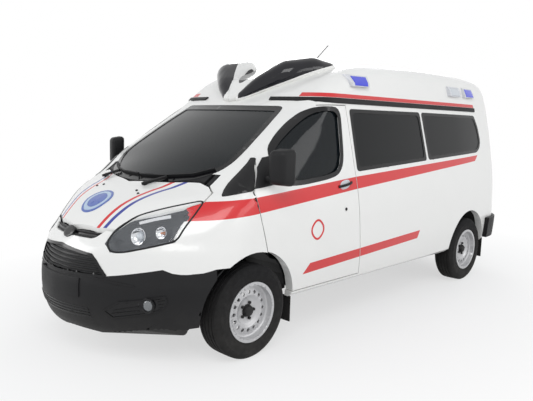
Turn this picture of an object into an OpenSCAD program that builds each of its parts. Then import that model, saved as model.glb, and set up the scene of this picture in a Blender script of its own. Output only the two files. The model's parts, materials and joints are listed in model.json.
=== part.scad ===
/* [Overall] */
// Wheelbase, front axle to rear axle
wheelbase = 3300; // [3100:10:3400]
// Front axle to the foremost point of the bumper
front_overhang = 1000; // [980:5:1020]
// Rear axle to the rearmost point of the bumper
rear_overhang = 1040; // [1020:5:1060]
// Height of the gutter line where the raised roof meets the sides
gutter_z = 1866; // [1860:1:1872]
// Lower edge of the side panels
sill_z = 370; // [365:1:376]

/* [Walls] */
// Thickness of doors, sides and roof
wall = 60; // [55:1:62]
// Thickness of bonnet, wings and nose
thin_wall = 25; // [22:1:27]
// Thickness of the glass
glass = 6; // [5:0.5:7]
// How far the glass lies below the skin
glass_inset = 3; // [2:0.5:4]
// Rounding where roof, sides, nose and tail meet
edge_r = 110; // [100:1:118]

/* [Gaps] */
// Shut gap around hinged doors and the bonnet
shut_gap = 7; // [6:0.5:8]
// Seam between fixed panels
seam = 0.4; // [0.3:0.1:0.6]
// Clearance of pins and spindles in their bores
pin_clear = 0.3; // [0.2:0.05:0.5]

/* [Wheels] */
// Tyre outer diameter
tyre_d = 686; // [670:2:694]
// Tyre width
tyre_w = 215; // [205:1:225]
// Height of the tyre's sidewall
sidewall = 140; // [136:1:146]
// Distance between the wheels of one axle
track = 1736; // [1710:2:1746]
// Room between the tyres and the wheel arches
arch_gap = 69; // [65:1:75]
// How far the centres of the wheel arches lie above the wheel centres
arch_up = 25; // [19:1:31]
// Radius of the spindles that carry the wheels
spindle_r = 30; // [26:1:32]
// Number of round holes in each wheel disc
wheel_holes = 16; // [10:1:18]
// Distance of the steering pivots inside the middle of the tyres
pivot_in = 68; // [62:1:73]

/* [Doors] */
// Rear edge of the front doors at the sill, behind the front axle
door_rear = 1262; // [1250:1:1272]
// Slope of the door edges towards the inside
door_taper = 0.03; // [0.02:0.005:0.035]
// Width of the rear pillars, from the rear doors out to the sides
rear_pillar = 235; // [225:1:255]
// Lower edge of the rear doors
rear_door_z = 665; // [655:1:680]
// Radius of the hinge pins
hinge_r = 6; // [5:0.5:6.5]

/* [Lamps] */
// Length of the lamp housings on the roof sides
lamp_l = 270; // [240:5:290]
// Height of the lamp housings
lamp_h = 112; // [100:2:120]
// How far the lamp housings stand out from the roof sides
lamp_out = 40; // [34:1:46]

/* [Hidden] */
$fn = 32;

// The body is drawn with y = distance behind the front axle and then set in place
rear_door_w = 925 - rear_pillar;
rim_d = tyre_d - 2 * sidewall;
hub_z = tyre_d / 2;
arch_r = tyre_d / 2 + arch_gap;
arch_z = hub_z + arch_up;
pivot_x = track / 2 - pivot_in;
length_all = front_overhang + wheelbase + rear_overhang;
axle_y = front_overhang - length_all / 2;
far = 1300;
behind_all = wheelbase + 1200;
high = 2700;
bumper_out = 50;
tail_y = wheelbase + rear_overhang - bumper_out;
nose_y = -front_overhang;
// Places behind the cab move with the rear axle
made_for = 3300;
function st(s) = s + (wheelbase - made_for) * min(max((s - 1300) / (made_for - 1300), 0), 1);
function stretched(table) = [for (p = table) [st(p.x), p.y]];

// Centre line of the top: distance behind the front axle, height
TOP = stretched([[-1200, 640], [-1000, 830], [-900, 920], [-820, 972], [-740, 1030], [-660, 1085], [-560, 1138],
       [-460, 1178], [-410, 1197], [-360, 1225], [-200, 1325], [0, 1450], [200, 1575], [400, 1697],
       [560, 1792], [640, 1850], [760, 1945], [880, 2025], [1020, 2095], [1180, 2150], [1350, 2195],
       [1600, 2230], [2000, 2252], [2600, 2262], [3300, 2250], [3800, 2215], [4100, 2160], [4300, 2090]]);
// Sweep of the top towards the rear at the sides: distance behind the front axle, mm per square metre
SWEEP = [[-1000, 420], [-800, 400], [-410, 420], [-150, 370], [100, 250], [600, 230], [1200, 80], [1800, 0]];
// Fall of the roof at the sides: distance behind the front axle, mm per square metre
CROWN = [[600, 0], [1300, 70]];
// Nose on the centre line: height, distance behind the foremost point
NOSE = [[200, 100], [300, 35], [450, 0], [560, 0], [640, 15], [770, 50], [810, 65], [880, 105], [950, 135],
        [1100, 210], [1300, 320], [3000, 1300]];
// Half width of the sides: height, half width
SIDE = [[200, 925], [300, 948], [450, 975], [700, 993], [900, 992], [1050, 985], [1200, 968], [1300, 951],
        [1900, 852], [2000, 832], [2100, 805], [2300, 740]];
// Narrowing towards both ends: distance behind the front axle, mm
TAPER = stretched([[-1000, 120], [-700, 45], [-400, 10], [0, 0], [3000, 0], [3600, 15], [4000, 45], [4340, 95]]);
// Narrowing of the cab above the belt: distance behind the front axle, mm
CAB_TAPER = [[-400, 110], [0, 70], [500, 25], [1000, 0]];
// Rear end on the centre line: height, distance ahead of the rearmost point
TAIL = [[200, 50], [400, 10], [600, 0], [750, 0], [900, 15], [1400, 70], [1900, 190], [2050, 250], [2300, 390]];
nose_bow = 650;
tail_bow = [120, 180];
core_z = 750;
nose_from = -410;
tail_from = wheelbase + 600;
// Sections of the skin: distances behind the front axle, angles around the core, angles of the fans at both ends
STATIONS = [nose_from, -290, -150, 50, 250, 450, 600, 760, 900, 1080, 1300, st(1700), st(2600), st(3400), tail_from];
ANGLES = [-60, -38, -20, -4, 8, 20, 32, 42, 49, 56, 62, 67, 76, 90];
NOSE_FAN = [22, 42, 58, 74, 90];
TAIL_FAN = [8, 16, 28, 48, 90];
// The same for the inner faces of the walls
STATIONS_IN = [nose_from, -150, 250, 600, 900, 1300, st(1700), st(3400), tail_from];
ANGLES_IN = [-60, -28, -3, 21, 43, 57, 67, 90];
TAIL_FAN_IN = [12, 30, 90];
nose_core_z = 520;

// Depth of a point below the rounded skin, positive inside
function slope(table, v) = (lookup(v + 20, table) - lookup(v - 20, table)) / 40;
function below_top(x, y, z, m) = let(b = y - lookup(y, SWEEP) * m * m, k = slope(TOP, b))
    (lookup(b, TOP) - lookup(y, CROWN) * m * m - z) / sqrt(1 + k * k);
function below_side(x, y, z) = lookup(z, SIDE) - lookup(y, TAPER)
    - lookup(y, CAB_TAPER) * min(max((z - 1150) / 500, 0), 1) - abs(x);
function below_nose(x, y, z, m) = let(k = slope(NOSE, z))
    (y - nose_y - lookup(z, NOSE) - nose_bow * m * m) / sqrt(1 + pow(2 * nose_bow * m / 1000, 2) + k * k);
function below_tail(x, y, z, m) =
    (tail_y - lookup(z, TAIL) - tail_bow[0] * m * m - tail_bow[1] * pow(m, 4) - y)
    / sqrt(1 + pow((2 * tail_bow[0] * m + 4 * tail_bow[1] * pow(m, 3)) / 1000, 2));
function sq(v) = let(d = max(edge_r - v, 0)) d * d;
function depth(p) = let(m = abs(p.x) / 1000) min(p.z - 200, edge_r - sqrt(
    sq(below_top(p.x, p.y, p.z, m)) + sq(below_side(p.x, p.y, p.z))
    + sq(below_nose(p.x, p.y, p.z, m)) + sq(below_tail(p.x, p.y, p.z, m))));
function reach(o, d, inset, lo = 0, hi = 1800, n = 14) = n == 0 ? o + d * lo :
    let(m = (lo + hi) / 2) depth(o + d * m) > inset ? reach(o, d, inset, m, hi, n - 1)
                                                    : reach(o, d, inset, lo, m, n - 1);
function both(points) = concat(points, [for (p = points) [-p.x, p.y, p.z]]);
function ring(y, inset, angles) =
    both([for (a = angles) reach([0, y, core_z], [cos(a), 0, sin(a)], inset)]);
function fan(y, z, way, inset, angles, tilts) = both([for (t = tilts) for (a = angles)
    reach([0, y, z], [cos(a) * cos(t), way * sin(t), sin(a) * cos(t)], inset)]);

// A convex solid on a cloud of points
module wrap(points) hull() polyhedron(points, [[for (i = [0 : len(points) - 1]) i]]);

// The whole body out to a given depth below its skin
module skin(inset, nose = true, stations = STATIONS, angles = ANGLES, tilts = TAIL_FAN) {
    rings = [for (y = stations) ring(y, inset, angles)];
    for (i = [0 : len(stations) - 2]) wrap(concat(rings[i], rings[i + 1]));
    if (nose) wrap(concat(rings[0], fan(nose_from, nose_core_z, -1, inset, angles, NOSE_FAN)));
    wrap(concat(rings[len(rings) - 1], fan(tail_from, core_z, 1, inset, angles, tilts)));
}
// The space inside the walls, drawn more coarsely
module room(inset) skin(inset, false, STATIONS_IN, ANGLES_IN, TAIL_FAN_IN);

// Prisms along the three axes on outlines seen from the side, from above and from the front
module side_prism(points, from = 0, to = far, grow = 0) translate([from, 0, 0]) rotate([90, 0, 90])
    linear_extrude(to - from) offset(delta = grow) polygon(points);
module top_prism(points, from = 0, to = high)
    translate([0, 0, from]) linear_extrude(to - from) polygon(points);
module front_prism(points, from, to, grow = 0) translate([0, to, 0]) rotate([90, 0, 0])
    linear_extrude(to - from) offset(delta = grow) polygon(points);
// A side prism whose outline shrinks towards the inside, like a plug
plug_x = 690;
module plug(points, grow = 0) {
    c = [620, 1050];
    outer = 1 + door_taper * (far - hinge_x) / 300;
    inner = 1 - door_taper * (hinge_x - plug_x) / 300;
    translate([far, c.x, c.y]) rotate([90, 0, -90]) mirror([1, 0, 0])
        linear_extrude(far - plug_x, scale = inner / outer) scale(outer)
            offset(delta = grow) polygon([for (p = points) p - c]);
}
module mirrored() {
    children();
    mirror([1, 0, 0]) children();
}
module on_side(side) if (side > 0) children(); else mirror([1, 0, 0]) children();
module placed() translate([0, axle_y, 0]) children();
function half(points) = concat(points, [for (i = [len(points) - 1 : -1 : 0]) [-points[i].x, points[i].y]]);

// Outlines: seen from the side as distance behind the front axle and height
door_front = [[-2, 1195], [53, 990], [122, 753]];
door_rake = (door_rear - 1112) / (1838 - 420);
function door_edge(z) = door_rear - door_rake * (z - 420);
DOOR = concat([[door_rear, 420], [door_edge(1838), 1838], [800, 1832], [665, 1787], [527, 1702], [340, 1580],
               [172, 1450], [90, 1370]], door_front, [[122, 420]]);
DOOR_WINDOW = [[1012, 1798], [1010, 1430], [985, 1350], [930, 1295], [800, 1268], [470, 1240], [240, 1250],
               [222, 1270], [235, 1455], [350, 1552], [530, 1672], [670, 1750], [800, 1795]];
PANE_FRONT = [[door_edge(1302) + 45, 1302], [st(2352), 1360], [st(2275), 1800], [door_edge(1796) + 50, 1796]];
PANE_REAR = stretched([[2408, 1364], [3480, 1416], [3560, 1460], [3590, 1530], [3545, 1680], [3467, 1798],
                       [2328, 1800]]);
SLIDING = [[door_rear + 20, 425], [st(2445), 425], [st(2445), 760], [st(2380), 1362], [st(2302), 1838],
           [door_edge(1838) + 20, 1838]];
HEADLAMP = [[-818, 797], [-761, 802], [-514, 882], [-463, 968], [-388, 1064], [-293, 1158], [-519, 1088],
            [-628, 1032], [-742, 937], [-818, 844]];
WING = [[-510, 884], [-562, 790], [-612, 706], [-570, 684], [-521, 676], [-414, 686], [-330, 706], [122, 706],
        [122, 753], [53, 990], [-2, 1195], [-15, 1303], [-214, 1240], [-300, 1230], [-510, 1230]];
BUMPER_TOP = [[-1100, 645], [-850, 645], [-727, 677], [-612, 706], [-570, 684], [-521, 676], [-414, 686],
              [-330, 706]];
SIDE_PANEL = [[-216, 1240.5], [-15, 1303.5], [-2, 1195], [53, 990], [122, 753], [122, sill_z], [behind_all, sill_z],
              [behind_all, gutter_z - seam], [702, gutter_z - seam], [602, 1806 - seam], [100, 1806 - seam],
              [-216, 1500]];
ROOF = [[300, 1806], [602, 1806], [702, gutter_z], [behind_all, gutter_z], [behind_all, high], [300, high]];
// Seen from above as half width and distance behind the front axle
BONNET = [[0, -838], [245, -798], [385, -742], [464, -632], [577, -523], [700, -392], [765, -293], [752, -215],
          [690, -190], [600, -196], [477, -250], [382, -295], [242, -340], [0, -390]];
// Seen from the front as half width and height
SCREEN = [[0, 1226], [380, 1240], [560, 1272], [660, 1330], [700, 1400], [690, 1480], [650, 1640], [600, 1780],
          [575, 1804], [0, 1806]];
LOWER_GRILLE = [[0, 628], [430, 636], [446, 650], [360, 742], [318, 775], [0, 806]];
SLOT = [[0, 862], [250, 864], [282, 876], [335, 930], [290, 940], [0, 932]];
TAIL_LAMP = [[rear_door_w + 16, 940], [far, 940], [far, 1390], [rear_door_w + 30, 1410], [rear_door_w + 16, 1380]];
REAR_WINDOW = [[60, 1150], [rear_door_w - 90, 1150], [rear_door_w - 55, 1190], [rear_door_w - 90, 1700],
               [rear_door_w - 130, 1740], [60, 1740]];

// The body cut to a panel: everything between two depths inside a cutter
module shell(inset) difference() {
    skin(0);
    skin(inset);
}
module wall_shell() difference() {
    skin(0);
    room(wall);
}
module arches(grow = 0) for (y = [0, wheelbase])
    translate([0, y, arch_z]) rotate([0, 90, 0]) cylinder(r = arch_r + grow, h = 2 * far, center = true, $fn = 48);

// Side panel with pillars, cantrail and sill; the right one has the sliding door's opening
hinge_y = 215;
hinge_x = 976;
HINGE_Z = [830, 990];
pillar_x = 760;
hinge_bore = (hinge_r + pin_clear) / cos(180 / 16);
lamp_from = wheelbase + 650;
rear_top_z = 1842;
module rear_opening(grow) difference() {
    front_prism(half([[rear_door_w + grow, rear_door_z - grow], [rear_door_w + grow, rear_top_z + 80]]),
                wheelbase + 560, behind_all);
    above_doors(grow);
}
// The top edges of the rear doors lie square to their leaning hinge axis
module above_doors(grow) translate([0, tail_y - lookup(rear_top_z, TAIL), rear_top_z + grow]) rotate([rear_lean, 0, 0])
    translate([-far, -far, 0]) cube([2 * far, 2 * far, 400]);
module side_panel(side) color("white") placed() on_side(side) {
    difference() {
        intersection() {
            difference() {
                skin(0);
                room(wall);
            }
            side_prism(SIDE_PANEL, seam);
        }
        plug(DOOR, shut_gap);
        front_prism(half(SCREEN), -700, 900);
        bonnet_gap();
        translate([0, -300, 1100]) cube([cowl_x + seam, 400, 200 + seam]);
        arches();
        side_prism(PANE_REAR, 500);
        if (side > 0) side_prism(PANE_FRONT, 500);
        else side_prism(SLIDING, 500, grow = seam);
        rear_opening(shut_gap);
        front_prism(TAIL_LAMP, lamp_from, behind_all);
        translate([0, wheelbase + 430, 0]) cube([far, 2000, rear_door_z - shut_gap]);
    }
    // Hinge pillar behind the front edge of the door
    translate([pillar_x - 60, -90, 795]) cube([60, hinge_y + 110, 300]);
    difference() {
        intersection() {
            hull() {
                translate([pillar_x - 60, -90, 1060]) cube([60, 100, 30]);
                translate([690, -60, 1340]) cube([110, 90, 30]);
            }
            skin(30);
        }
        plug(DOOR, shut_gap);
        front_prism(half(SCREEN), -700, 900);
    }
}
module side_panel_left() side_panel(1);
module side_panel_right() side_panel(-1);

module roof() color("white") placed() intersection() {
    wall_shell();
    side_prism(ROOF, -far);
}

// Thickness of the wing along the door
wing_edge = 6;
module wing(side) color("white") placed() on_side(side) difference() {
    intersection() {
        shell(thin_wall);
        side_prism(WING, cowl_x + seam);
    }
    bonnet_gap(5);
    side_prism(HEADLAMP, 372);
    plug(DOOR, shut_gap);
    arches();
    intersection() {
        skin(wing_edge);
        plug(DOOR, shut_gap + 45);
        translate([860, -200, 0]) cube([far, 500, 1180]);
    }
}
module wing_left() wing(1);
module wing_right() wing(-1);

// Space that the bonnet and its shut gap take up, seen from above
module bonnet_gap(more = 0) translate([0, 0, 860]) linear_extrude(high) {
    offset(delta = shut_gap + more) polygon(half(BONNET));
    translate([0, -bonnet_lead]) offset(delta = shut_gap) polygon(half(BONNET));
}
// The bonnet turns on pins under the cowl, on arms from its rear corners
bonnet_hinge = [640, -30, 1180];
bonnet_pin_r = 6;
bonnet_arm_w = 14;
// More room ahead of the bonnet and behind it, where its edges swing past their neighbours
bonnet_lead = 6;
cowl_gap = 9;
module bonnet() color("white") placed() difference() {
    union() {
        intersection() {
            shell(thin_wall);
            top_prism(half(BONNET), 880);
        }
        mirrored() hull() {
            translate([bonnet_hinge.x - bonnet_arm_w / 2, -240, 1182]) cube([bonnet_arm_w, 30, 12]);
            translate(bonnet_hinge) rotate([0, 90, 0]) cylinder(r = 13, h = bonnet_arm_w, center = true, $fn = 16);
        }
    }
    mirrored() translate(bonnet_hinge) rotate([0, 90, 0])
        cylinder(r = (bonnet_pin_r + pin_clear) / cos(180 / 16), h = 50, center = true, $fn = 16);
}

cowl_x = 690;
module cowl() color("dimgray") placed() difference() {
    intersection() {
        shell(thin_wall);
        top_prism(half([[0, -400], [cowl_x, -400], [cowl_x, 100], [0, 100]]), 1100);
    }
    bonnet_gap(cowl_gap);
    mirrored() translate([bonnet_hinge.x - bonnet_arm_w / 2 - 6, -300, 1100])
        cube([bonnet_arm_w + 12, 300 + bonnet_hinge.y - 62, 400]);
    front_prism(half(SCREEN), -700, 900);
    front_prism([[-far, 1300], [far, 1300], [far, high], [-far, high]], -700, 900);
}

module screen_glass(inset) difference() {
    skin(inset);
    skin(inset + glass);
}
module windscreen() color("darkslategray") placed() intersection() {
    screen_glass(glass_inset);
    front_prism(half(SCREEN), -700, 900, grow = -seam);
}

module nose_panel() color("white") placed() difference() {
    intersection() {
        shell(thin_wall);
        side_prism([[-1100, 645 + seam], [-850, 645 + seam], [-727, 677 + seam], [-612, 706 + seam], [-562, 790],
                    [-510, 884], [-512, 1100], [-1100, 1100]], -far);
    }
    bonnet_gap();
    mirrored() side_prism(HEADLAMP, 372);
    front_prism(half(LOWER_GRILLE), -1200, -300);
    front_prism(half(SLOT), -1200, -300);
}

module front_bumper() color("dimgray") placed() difference() {
    intersection() {
        shell(40);
        side_prism(concat([[-330, 150], [-1100, 150]], BUMPER_TOP), -far);
    }
    front_prism(half(LOWER_GRILLE), -1200, -300);
    arches(13);
    translate([-far, -330, 0]) cube([2 * far, 400, 2000]);
}

module grilles() color("black") placed() {
    for (outline = [LOWER_GRILLE, SLOT]) difference() {
        intersection() {
            difference() {
                skin(14);
                skin(34);
            }
            front_prism(half(outline), -1200, -500, grow = -seam);
        }
        bonnet_gap();
    }
}

module headlamps() color("lightgray") placed() difference() {
    mirrored() intersection() {
        shell(80);
        side_prism(HEADLAMP, 372 + seam, grow = -seam);
    }
    bonnet_gap();
}

module front_door(side) color("white") placed() on_side(side) difference() {
    intersection() {
        wall_shell();
        plug(DOOR);
        translate([plug_x + 6, -far, 0]) cube([far, 3 * far, high]);
    }
    arches(shut_gap);
    side_prism(DOOR_WINDOW, 500);
    for (z = HINGE_Z) translate([hinge_x, hinge_y, z]) {
        cylinder(r = hinge_bore, h = 60, center = true, $fn = 16);
        translate([-100, -190, -15]) cube([100 + hinge_r + 1, 190 + hinge_r + 1, 30]);
    }
}
module front_door_left() front_door(1);
module front_door_right() front_door(-1);

module door_glass(side) color("darkslategray") placed() on_side(side) intersection() {
    screen_glass(18);
    side_prism(DOOR_WINDOW, 500, grow = -seam);
}
module door_glass_left() door_glass(1);
module door_glass_right() door_glass(-1);

module sliding_door() color("white") placed() mirror([1, 0, 0]) difference() {
    intersection() {
        wall_shell();
        side_prism(SLIDING, 500);
    }
    side_prism(PANE_FRONT, 500);
}

module side_glass() color("darkslategray") placed() intersection() {
    screen_glass(glass_inset);
    mirrored() {
        side_prism(PANE_FRONT, 500, grow = -seam);
        side_prism(PANE_REAR, 500, grow = -seam);
    }
}

REAR_DOOR = [[5, rear_door_z], [rear_door_w, rear_door_z], [rear_door_w, rear_top_z + 80], [5, rear_top_z + 80]];
// Rear hinges stand off the outside: axis leaning forwards with the tail
rear_hinge_x = rear_door_w + 9;
rear_hinge_z = [900, 1740];
function rear_hinge(z) = let(m = rear_hinge_x / 1000)
    [rear_hinge_x, tail_y - lookup(z, TAIL) - tail_bow[0] * m * m - tail_bow[1] * pow(m, 4) + 20, z];
rear_lean = atan((rear_hinge(rear_hinge_z[0]).y - rear_hinge(rear_hinge_z[1]).y) / (rear_hinge_z[1] - rear_hinge_z[0]));
module at_rear_hinges() for (z = rear_hinge_z) translate(rear_hinge(z)) rotate([rear_lean, 0, 0]) children();
module rear_door(side) color("white") placed() on_side(side) difference() {
    union() {
        difference() {
            intersection() {
                wall_shell();
                front_prism(REAR_DOOR, wheelbase + 560, behind_all);
            }
            front_prism(REAR_WINDOW, wheelbase + 400, behind_all);
            above_doors(0);
        }
        at_rear_hinges() for (z = [-50, 22]) translate([0, 0, z]) {
            cylinder(r = 15, h = 28, $fn = 12);
            translate([-70, -60, 0]) cube([62, 68, 28]);
            translate([-70, -12, 0]) cube([70, 20, 28]);
        }
    }
    at_rear_hinges() cylinder(r = hinge_bore, h = 140, center = true, $fn = 16);
}
module rear_door_left() rear_door(1);
module rear_door_right() rear_door(-1);

module rear_glass(side) color("darkslategray") placed() on_side(side) intersection() {
    screen_glass(glass_inset);
    front_prism(REAR_WINDOW, wheelbase + 500, behind_all, grow = -seam);
}
module rear_glass_left() rear_glass(1);
module rear_glass_right() rear_glass(-1);

module rear_bumper() color("dimgray") placed() difference() {
    intersection() {
        difference() {
            skin(-bumper_out);
            skin(20);
        }
        translate([-far, wheelbase + 430, 430]) cube([2 * far, 2000, rear_door_z - shut_gap - 430 - seam]);
    }
    arches(20);
}

module tail_lamps() color("firebrick") placed() mirrored() intersection() {
    shell(50);
    front_prism(TAIL_LAMP, lamp_from + seam, behind_all, grow = -seam);
}

// Beacon pod over the front of the roof: two side lobes and a lower middle, as [x, y, z, radius] of round forms
LOBE = [[75, 655, 1872, 36], [215, 770, 1985, 80], [370, 930, 2090, 112], [475, 1130, 2142, 98],
        [525, 1325, 2160, 46], [330, 1150, 2150, 92]];
MIDDLE = [[0, 640, 1868, 36], [130, 800, 1975, 70], [200, 1200, 2110, 70]];
// Its dark lenses: inner edges seen from above, and the rim under them seen from the side
SIDE_LENS = [[60, 610], [200, 640], [340, 700], [480, 800], [580, 930], [650, 1080], [660, 1290], [585, 1318],
             [500, 1290], [410, 1150], [325, 1010], [230, 880], [125, 760]];
MIDDLE_LENS = half([[0, 715], [70, 785], [150, 890], [215, 1010], [240, 1110], [220, 1140]]);
LENS_RIM = [[600, 1860], [660, 1886], [735, 1944], [886, 2038], [1020, 2100], [1144, 2144], [1320, 2186], [1320, high],
            [600, high]];
module rounds(forms) hull() for (q = forms) translate([q.x, q.y, q.z]) sphere(r = q[3], $fn = q[3] < 40 ? 8 : 10);
module pod_shape() difference() {
    union() {
        mirrored() rounds(LOBE);
        rounds(concat(MIDDLE, [for (q = MIDDLE) [-q.x, q.y, q.z, q[3]]]));
    }
    skin(-seam);
}
module lens_outlines(grow) offset(delta = grow) {
    polygon(SIDE_LENS);
    mirror([1, 0]) polygon(SIDE_LENS);
    polygon(MIDDLE_LENS);
}
module lens_space(grow) intersection() {
    translate([0, 0, 1700]) linear_extrude(high) lens_outlines(grow);
    side_prism(LENS_RIM, -far, grow = grow);
}
module beacon_pod() color("white") placed() difference() {
    pod_shape();
    lens_space(0);
}
module beacon_lenses() color("black") placed() intersection() {
    pod_shape();
    lens_space(-seam);
}

// Lamps on the roof sides: distance of their middles behind the front axle
BLUE_Y = [1325, st(3350)];
CLEAR_Y = [st(3017)];
lamp_z = 2042;
module lamp_block(y, l, h, out, under) difference() {
    mirrored() translate([700, y - l / 2, lamp_z - h / 2]) cube([120 + out, l, h]);
    skin(under);
}
module housing_shape() intersection() {
    skin(-lamp_out);
    mirrored() for (y = concat(BLUE_Y, CLEAR_Y)) hull() {
        translate([700, y - lamp_l / 2, lamp_z - lamp_h / 2]) cube([20, lamp_l, lamp_h]);
        translate([900, y - lamp_l / 2 + 25, lamp_z - lamp_h / 2 + 12]) cube([20, lamp_l - 50, lamp_h - 24]);
    }
}
module lens_blocks(ys, shrink) mirrored() for (y = ys)
    translate([700, y - lamp_l / 2 + 45 + shrink, lamp_z - lamp_h / 2 + 16 + shrink])
        cube([300, lamp_l - 90 - 2 * shrink, lamp_h - 32 - 2 * shrink]);
module lamp_housings() color("whitesmoke") placed() difference() {
    housing_shape();
    skin(-seam);
    difference() {
        lens_blocks(concat(BLUE_Y, CLEAR_Y), 0);
        skin(-lamp_out + 25);
    }
}
module lamp_lenses(ys) placed() intersection() {
    difference() {
        skin(-lamp_out - 4);
        skin(-lamp_out + 25 - seam);
    }
    lens_blocks(ys, seam);
}
module blue_lamps() color("blue") lamp_lenses(BLUE_Y);
module clear_lamps() color("gainsboro") lamp_lenses(CLEAR_Y);

aerial_foot = [0, st(1700), 2220];
module aerial() color("black") placed() difference() {
    translate(aerial_foot) {
        cylinder(r = 22, h = 45, $fn = 16);
        translate([0, 0, 40]) rotate([-50, 0, 0]) cylinder(r = 4, h = 300, $fn = 8);
    }
    skin(-seam);
}

module mirror_body(side) color("black") placed() on_side(side) difference() {
    union() {
        hull() for (x = [1010, 1105]) for (y = [115, 185]) for (z = [1260, 1480])
            translate([x, y + (x - 1010) * 0.3, z]) sphere(r = 30, $fn = 8);
        hull() for (y = [110, 170]) for (z = [1262, 1300]) translate([940, y, z]) sphere(r = 16, $fn = 8);
        hull() {
            translate([945, 110, 1265]) cube([90, 60, 40]);
            translate([1010, 120, 1262]) cube([30, 60, 50]);
        }
    }
    skin(-seam);
}
module mirror_left() mirror_body(1);
module mirror_right() mirror_body(-1);

module mud_flaps() color("black") placed() mirrored() {
    translate([740, 424, 170]) cube([200, 8, 200 - seam]);
    translate([740, wheelbase + 456, 190]) cube([200, 8, 240 - seam]);
}

module liner() translate([520, 0, arch_z]) rotate([0, 90, 0]) difference() {
    cylinder(r = arch_r + 12, h = 500, $fn = 28);
    translate([0, 0, -1]) cylinder(r = arch_r + 4, h = 502, $fn = 28);
    translate([-12, -far, -1]) cube([far, 2 * far, far]);
}
module wheel_liners() color("black") placed() mirrored() {
    intersection() {
        liner();
        skin(thin_wall + seam);
        translate([0, -far, 0]) cube([far, far + 20, high]);
    }
    difference() {
        intersection() {
            liner();
            skin(wall + 22);
        }
        translate([850, 80, 650]) cube([far, 200, 200]);
    }
}

// Wheels: tyre and steel disc wheel turn on the spindle
module tyre(side, y) color("#222222") placed() translate([side * track / 2, y, hub_z]) rotate([0, 90, 0])
    rotate_extrude($fn = 64) polygon([[rim_d / 2 + 1, -rim_half], [rim_d / 2 + 17, -rim_half + 1],
        [rim_d / 2 + 30, -tyre_w / 2 + 4],
        [tyre_d / 2 - 70, -tyre_w / 2], [tyre_d / 2 - 22, -tyre_w / 2 + 10], [tyre_d / 2 - 4, -tyre_w / 2 + 32],
        [tyre_d / 2, -tyre_w / 4], [tyre_d / 2, tyre_w / 4], [tyre_d / 2 - 4, tyre_w / 2 - 32],
        [tyre_d / 2 - 22, tyre_w / 2 - 10], [tyre_d / 2 - 70, tyre_w / 2], [rim_d / 2 + 30, tyre_w / 2 - 4],
        [rim_d / 2 + 17, rim_half - 1], [rim_d / 2 + 1, rim_half]]);
rim_half = tyre_w * 0.42;
disc_x = 40;
module rim(side, y) color("silver") placed() translate([side * track / 2, y, hub_z]) rotate([0, side * 90, 0])
difference() {
    rotate_extrude($fn = 64) polygon([
        [rim_d / 2 + 0.5, -rim_half], [rim_d / 2 + 16, -rim_half - 4], [rim_d / 2 + 16, -rim_half - 10],
        [rim_d / 2 - 8, -rim_half - 10], [rim_d / 2 - 8, disc_x - 40], [rim_d / 2 - 30, disc_x - 2],
        [rim_d * 0.296, disc_x + 12], [rim_d * 0.234, disc_x - 4], [rim_d * 0.172, disc_x - 10], [spindle_r + pin_clear, disc_x - 10],
        [spindle_r + pin_clear, disc_x + 2], [rim_d * 0.172, disc_x + 2], [rim_d * 0.234, disc_x + 8],
        [rim_d * 0.296, disc_x + 24],
        [rim_d / 2 - 26, disc_x + 10], [rim_d / 2 - 8, rim_half - 30], [rim_d / 2 - 8, rim_half + 10],
        [rim_d / 2 + 16, rim_half + 10], [rim_d / 2 + 16, rim_half + 4], [rim_d / 2 + 0.5, rim_half]]);
    for (i = [0 : wheel_holes - 1]) rotate([0, 0, i * 360 / wheel_holes]) translate([rim_d * 0.35, 0, 0])
        cylinder(r = rim_d * 0.032, h = tyre_w);
}
module tyre_front_left() tyre(1, 0);
module tyre_front_right() tyre(-1, 0);
module tyre_rear_left() tyre(1, wheelbase);
module tyre_rear_right() tyre(-1, wheelbase);
module rim_front_left() rim(1, 0);
module rim_front_right() rim(-1, 0);
module rim_rear_left() rim(1, wheelbase);
module rim_rear_right() rim(-1, wheelbase);

// Steering knuckle: barrel on an upright pin, with the spindle of the wheel
pin_r = 14;
barrel_h = 180;
spindle_end = track / 2 + disc_x + 25;
module knuckle(side) color("dimgray") placed() on_side(side) difference() {
    union() {
        translate([pivot_x, 0, hub_z - barrel_h / 2]) cylinder(r = 34, h = barrel_h);
        translate([pivot_x, 0, hub_z]) rotate([0, 90, 0]) cylinder(r = spindle_r, h = spindle_end - pivot_x);
    }
    translate([pivot_x, 0, 0]) cylinder(r = pin_r + pin_clear, h = 2 * hub_z + 100);
}
module knuckle_left() knuckle(1);
module knuckle_right() knuckle(-1);

floor_z = 440;
floor_t = 60;
arm_gap = 1;
engine_z = 405;
module front_subframe() color("#333333") placed() {
    mirrored() {
        translate([380, -690, floor_z - 80]) cube([80, 870, 80]);
        for (z = [hub_z - barrel_h / 2 - arm_gap - 20, hub_z + barrel_h / 2 + arm_gap])
            translate([0, 0, z]) linear_extrude(20) hull() {
                translate([pivot_x, 0]) circle(r = 24);
                translate([500, 0]) square([60, 90], center = true);
            }
        translate([pivot_x, 0, hub_z - barrel_h / 2 - arm_gap - 20])
            cylinder(r = pin_r, h = barrel_h + 2 * arm_gap + 40);
        translate([440, -60, hub_z - barrel_h / 2 - arm_gap - 20]) cube([100, 120, barrel_h + 2 * arm_gap + 40]);
        translate([600, 0, hub_z + barrel_h / 2]) cylinder(r = 30, h = 300);
    }
    for (y = [-690, -300]) translate([-400, y, engine_z - 60]) cube([800, 100, 60]);
}

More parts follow.
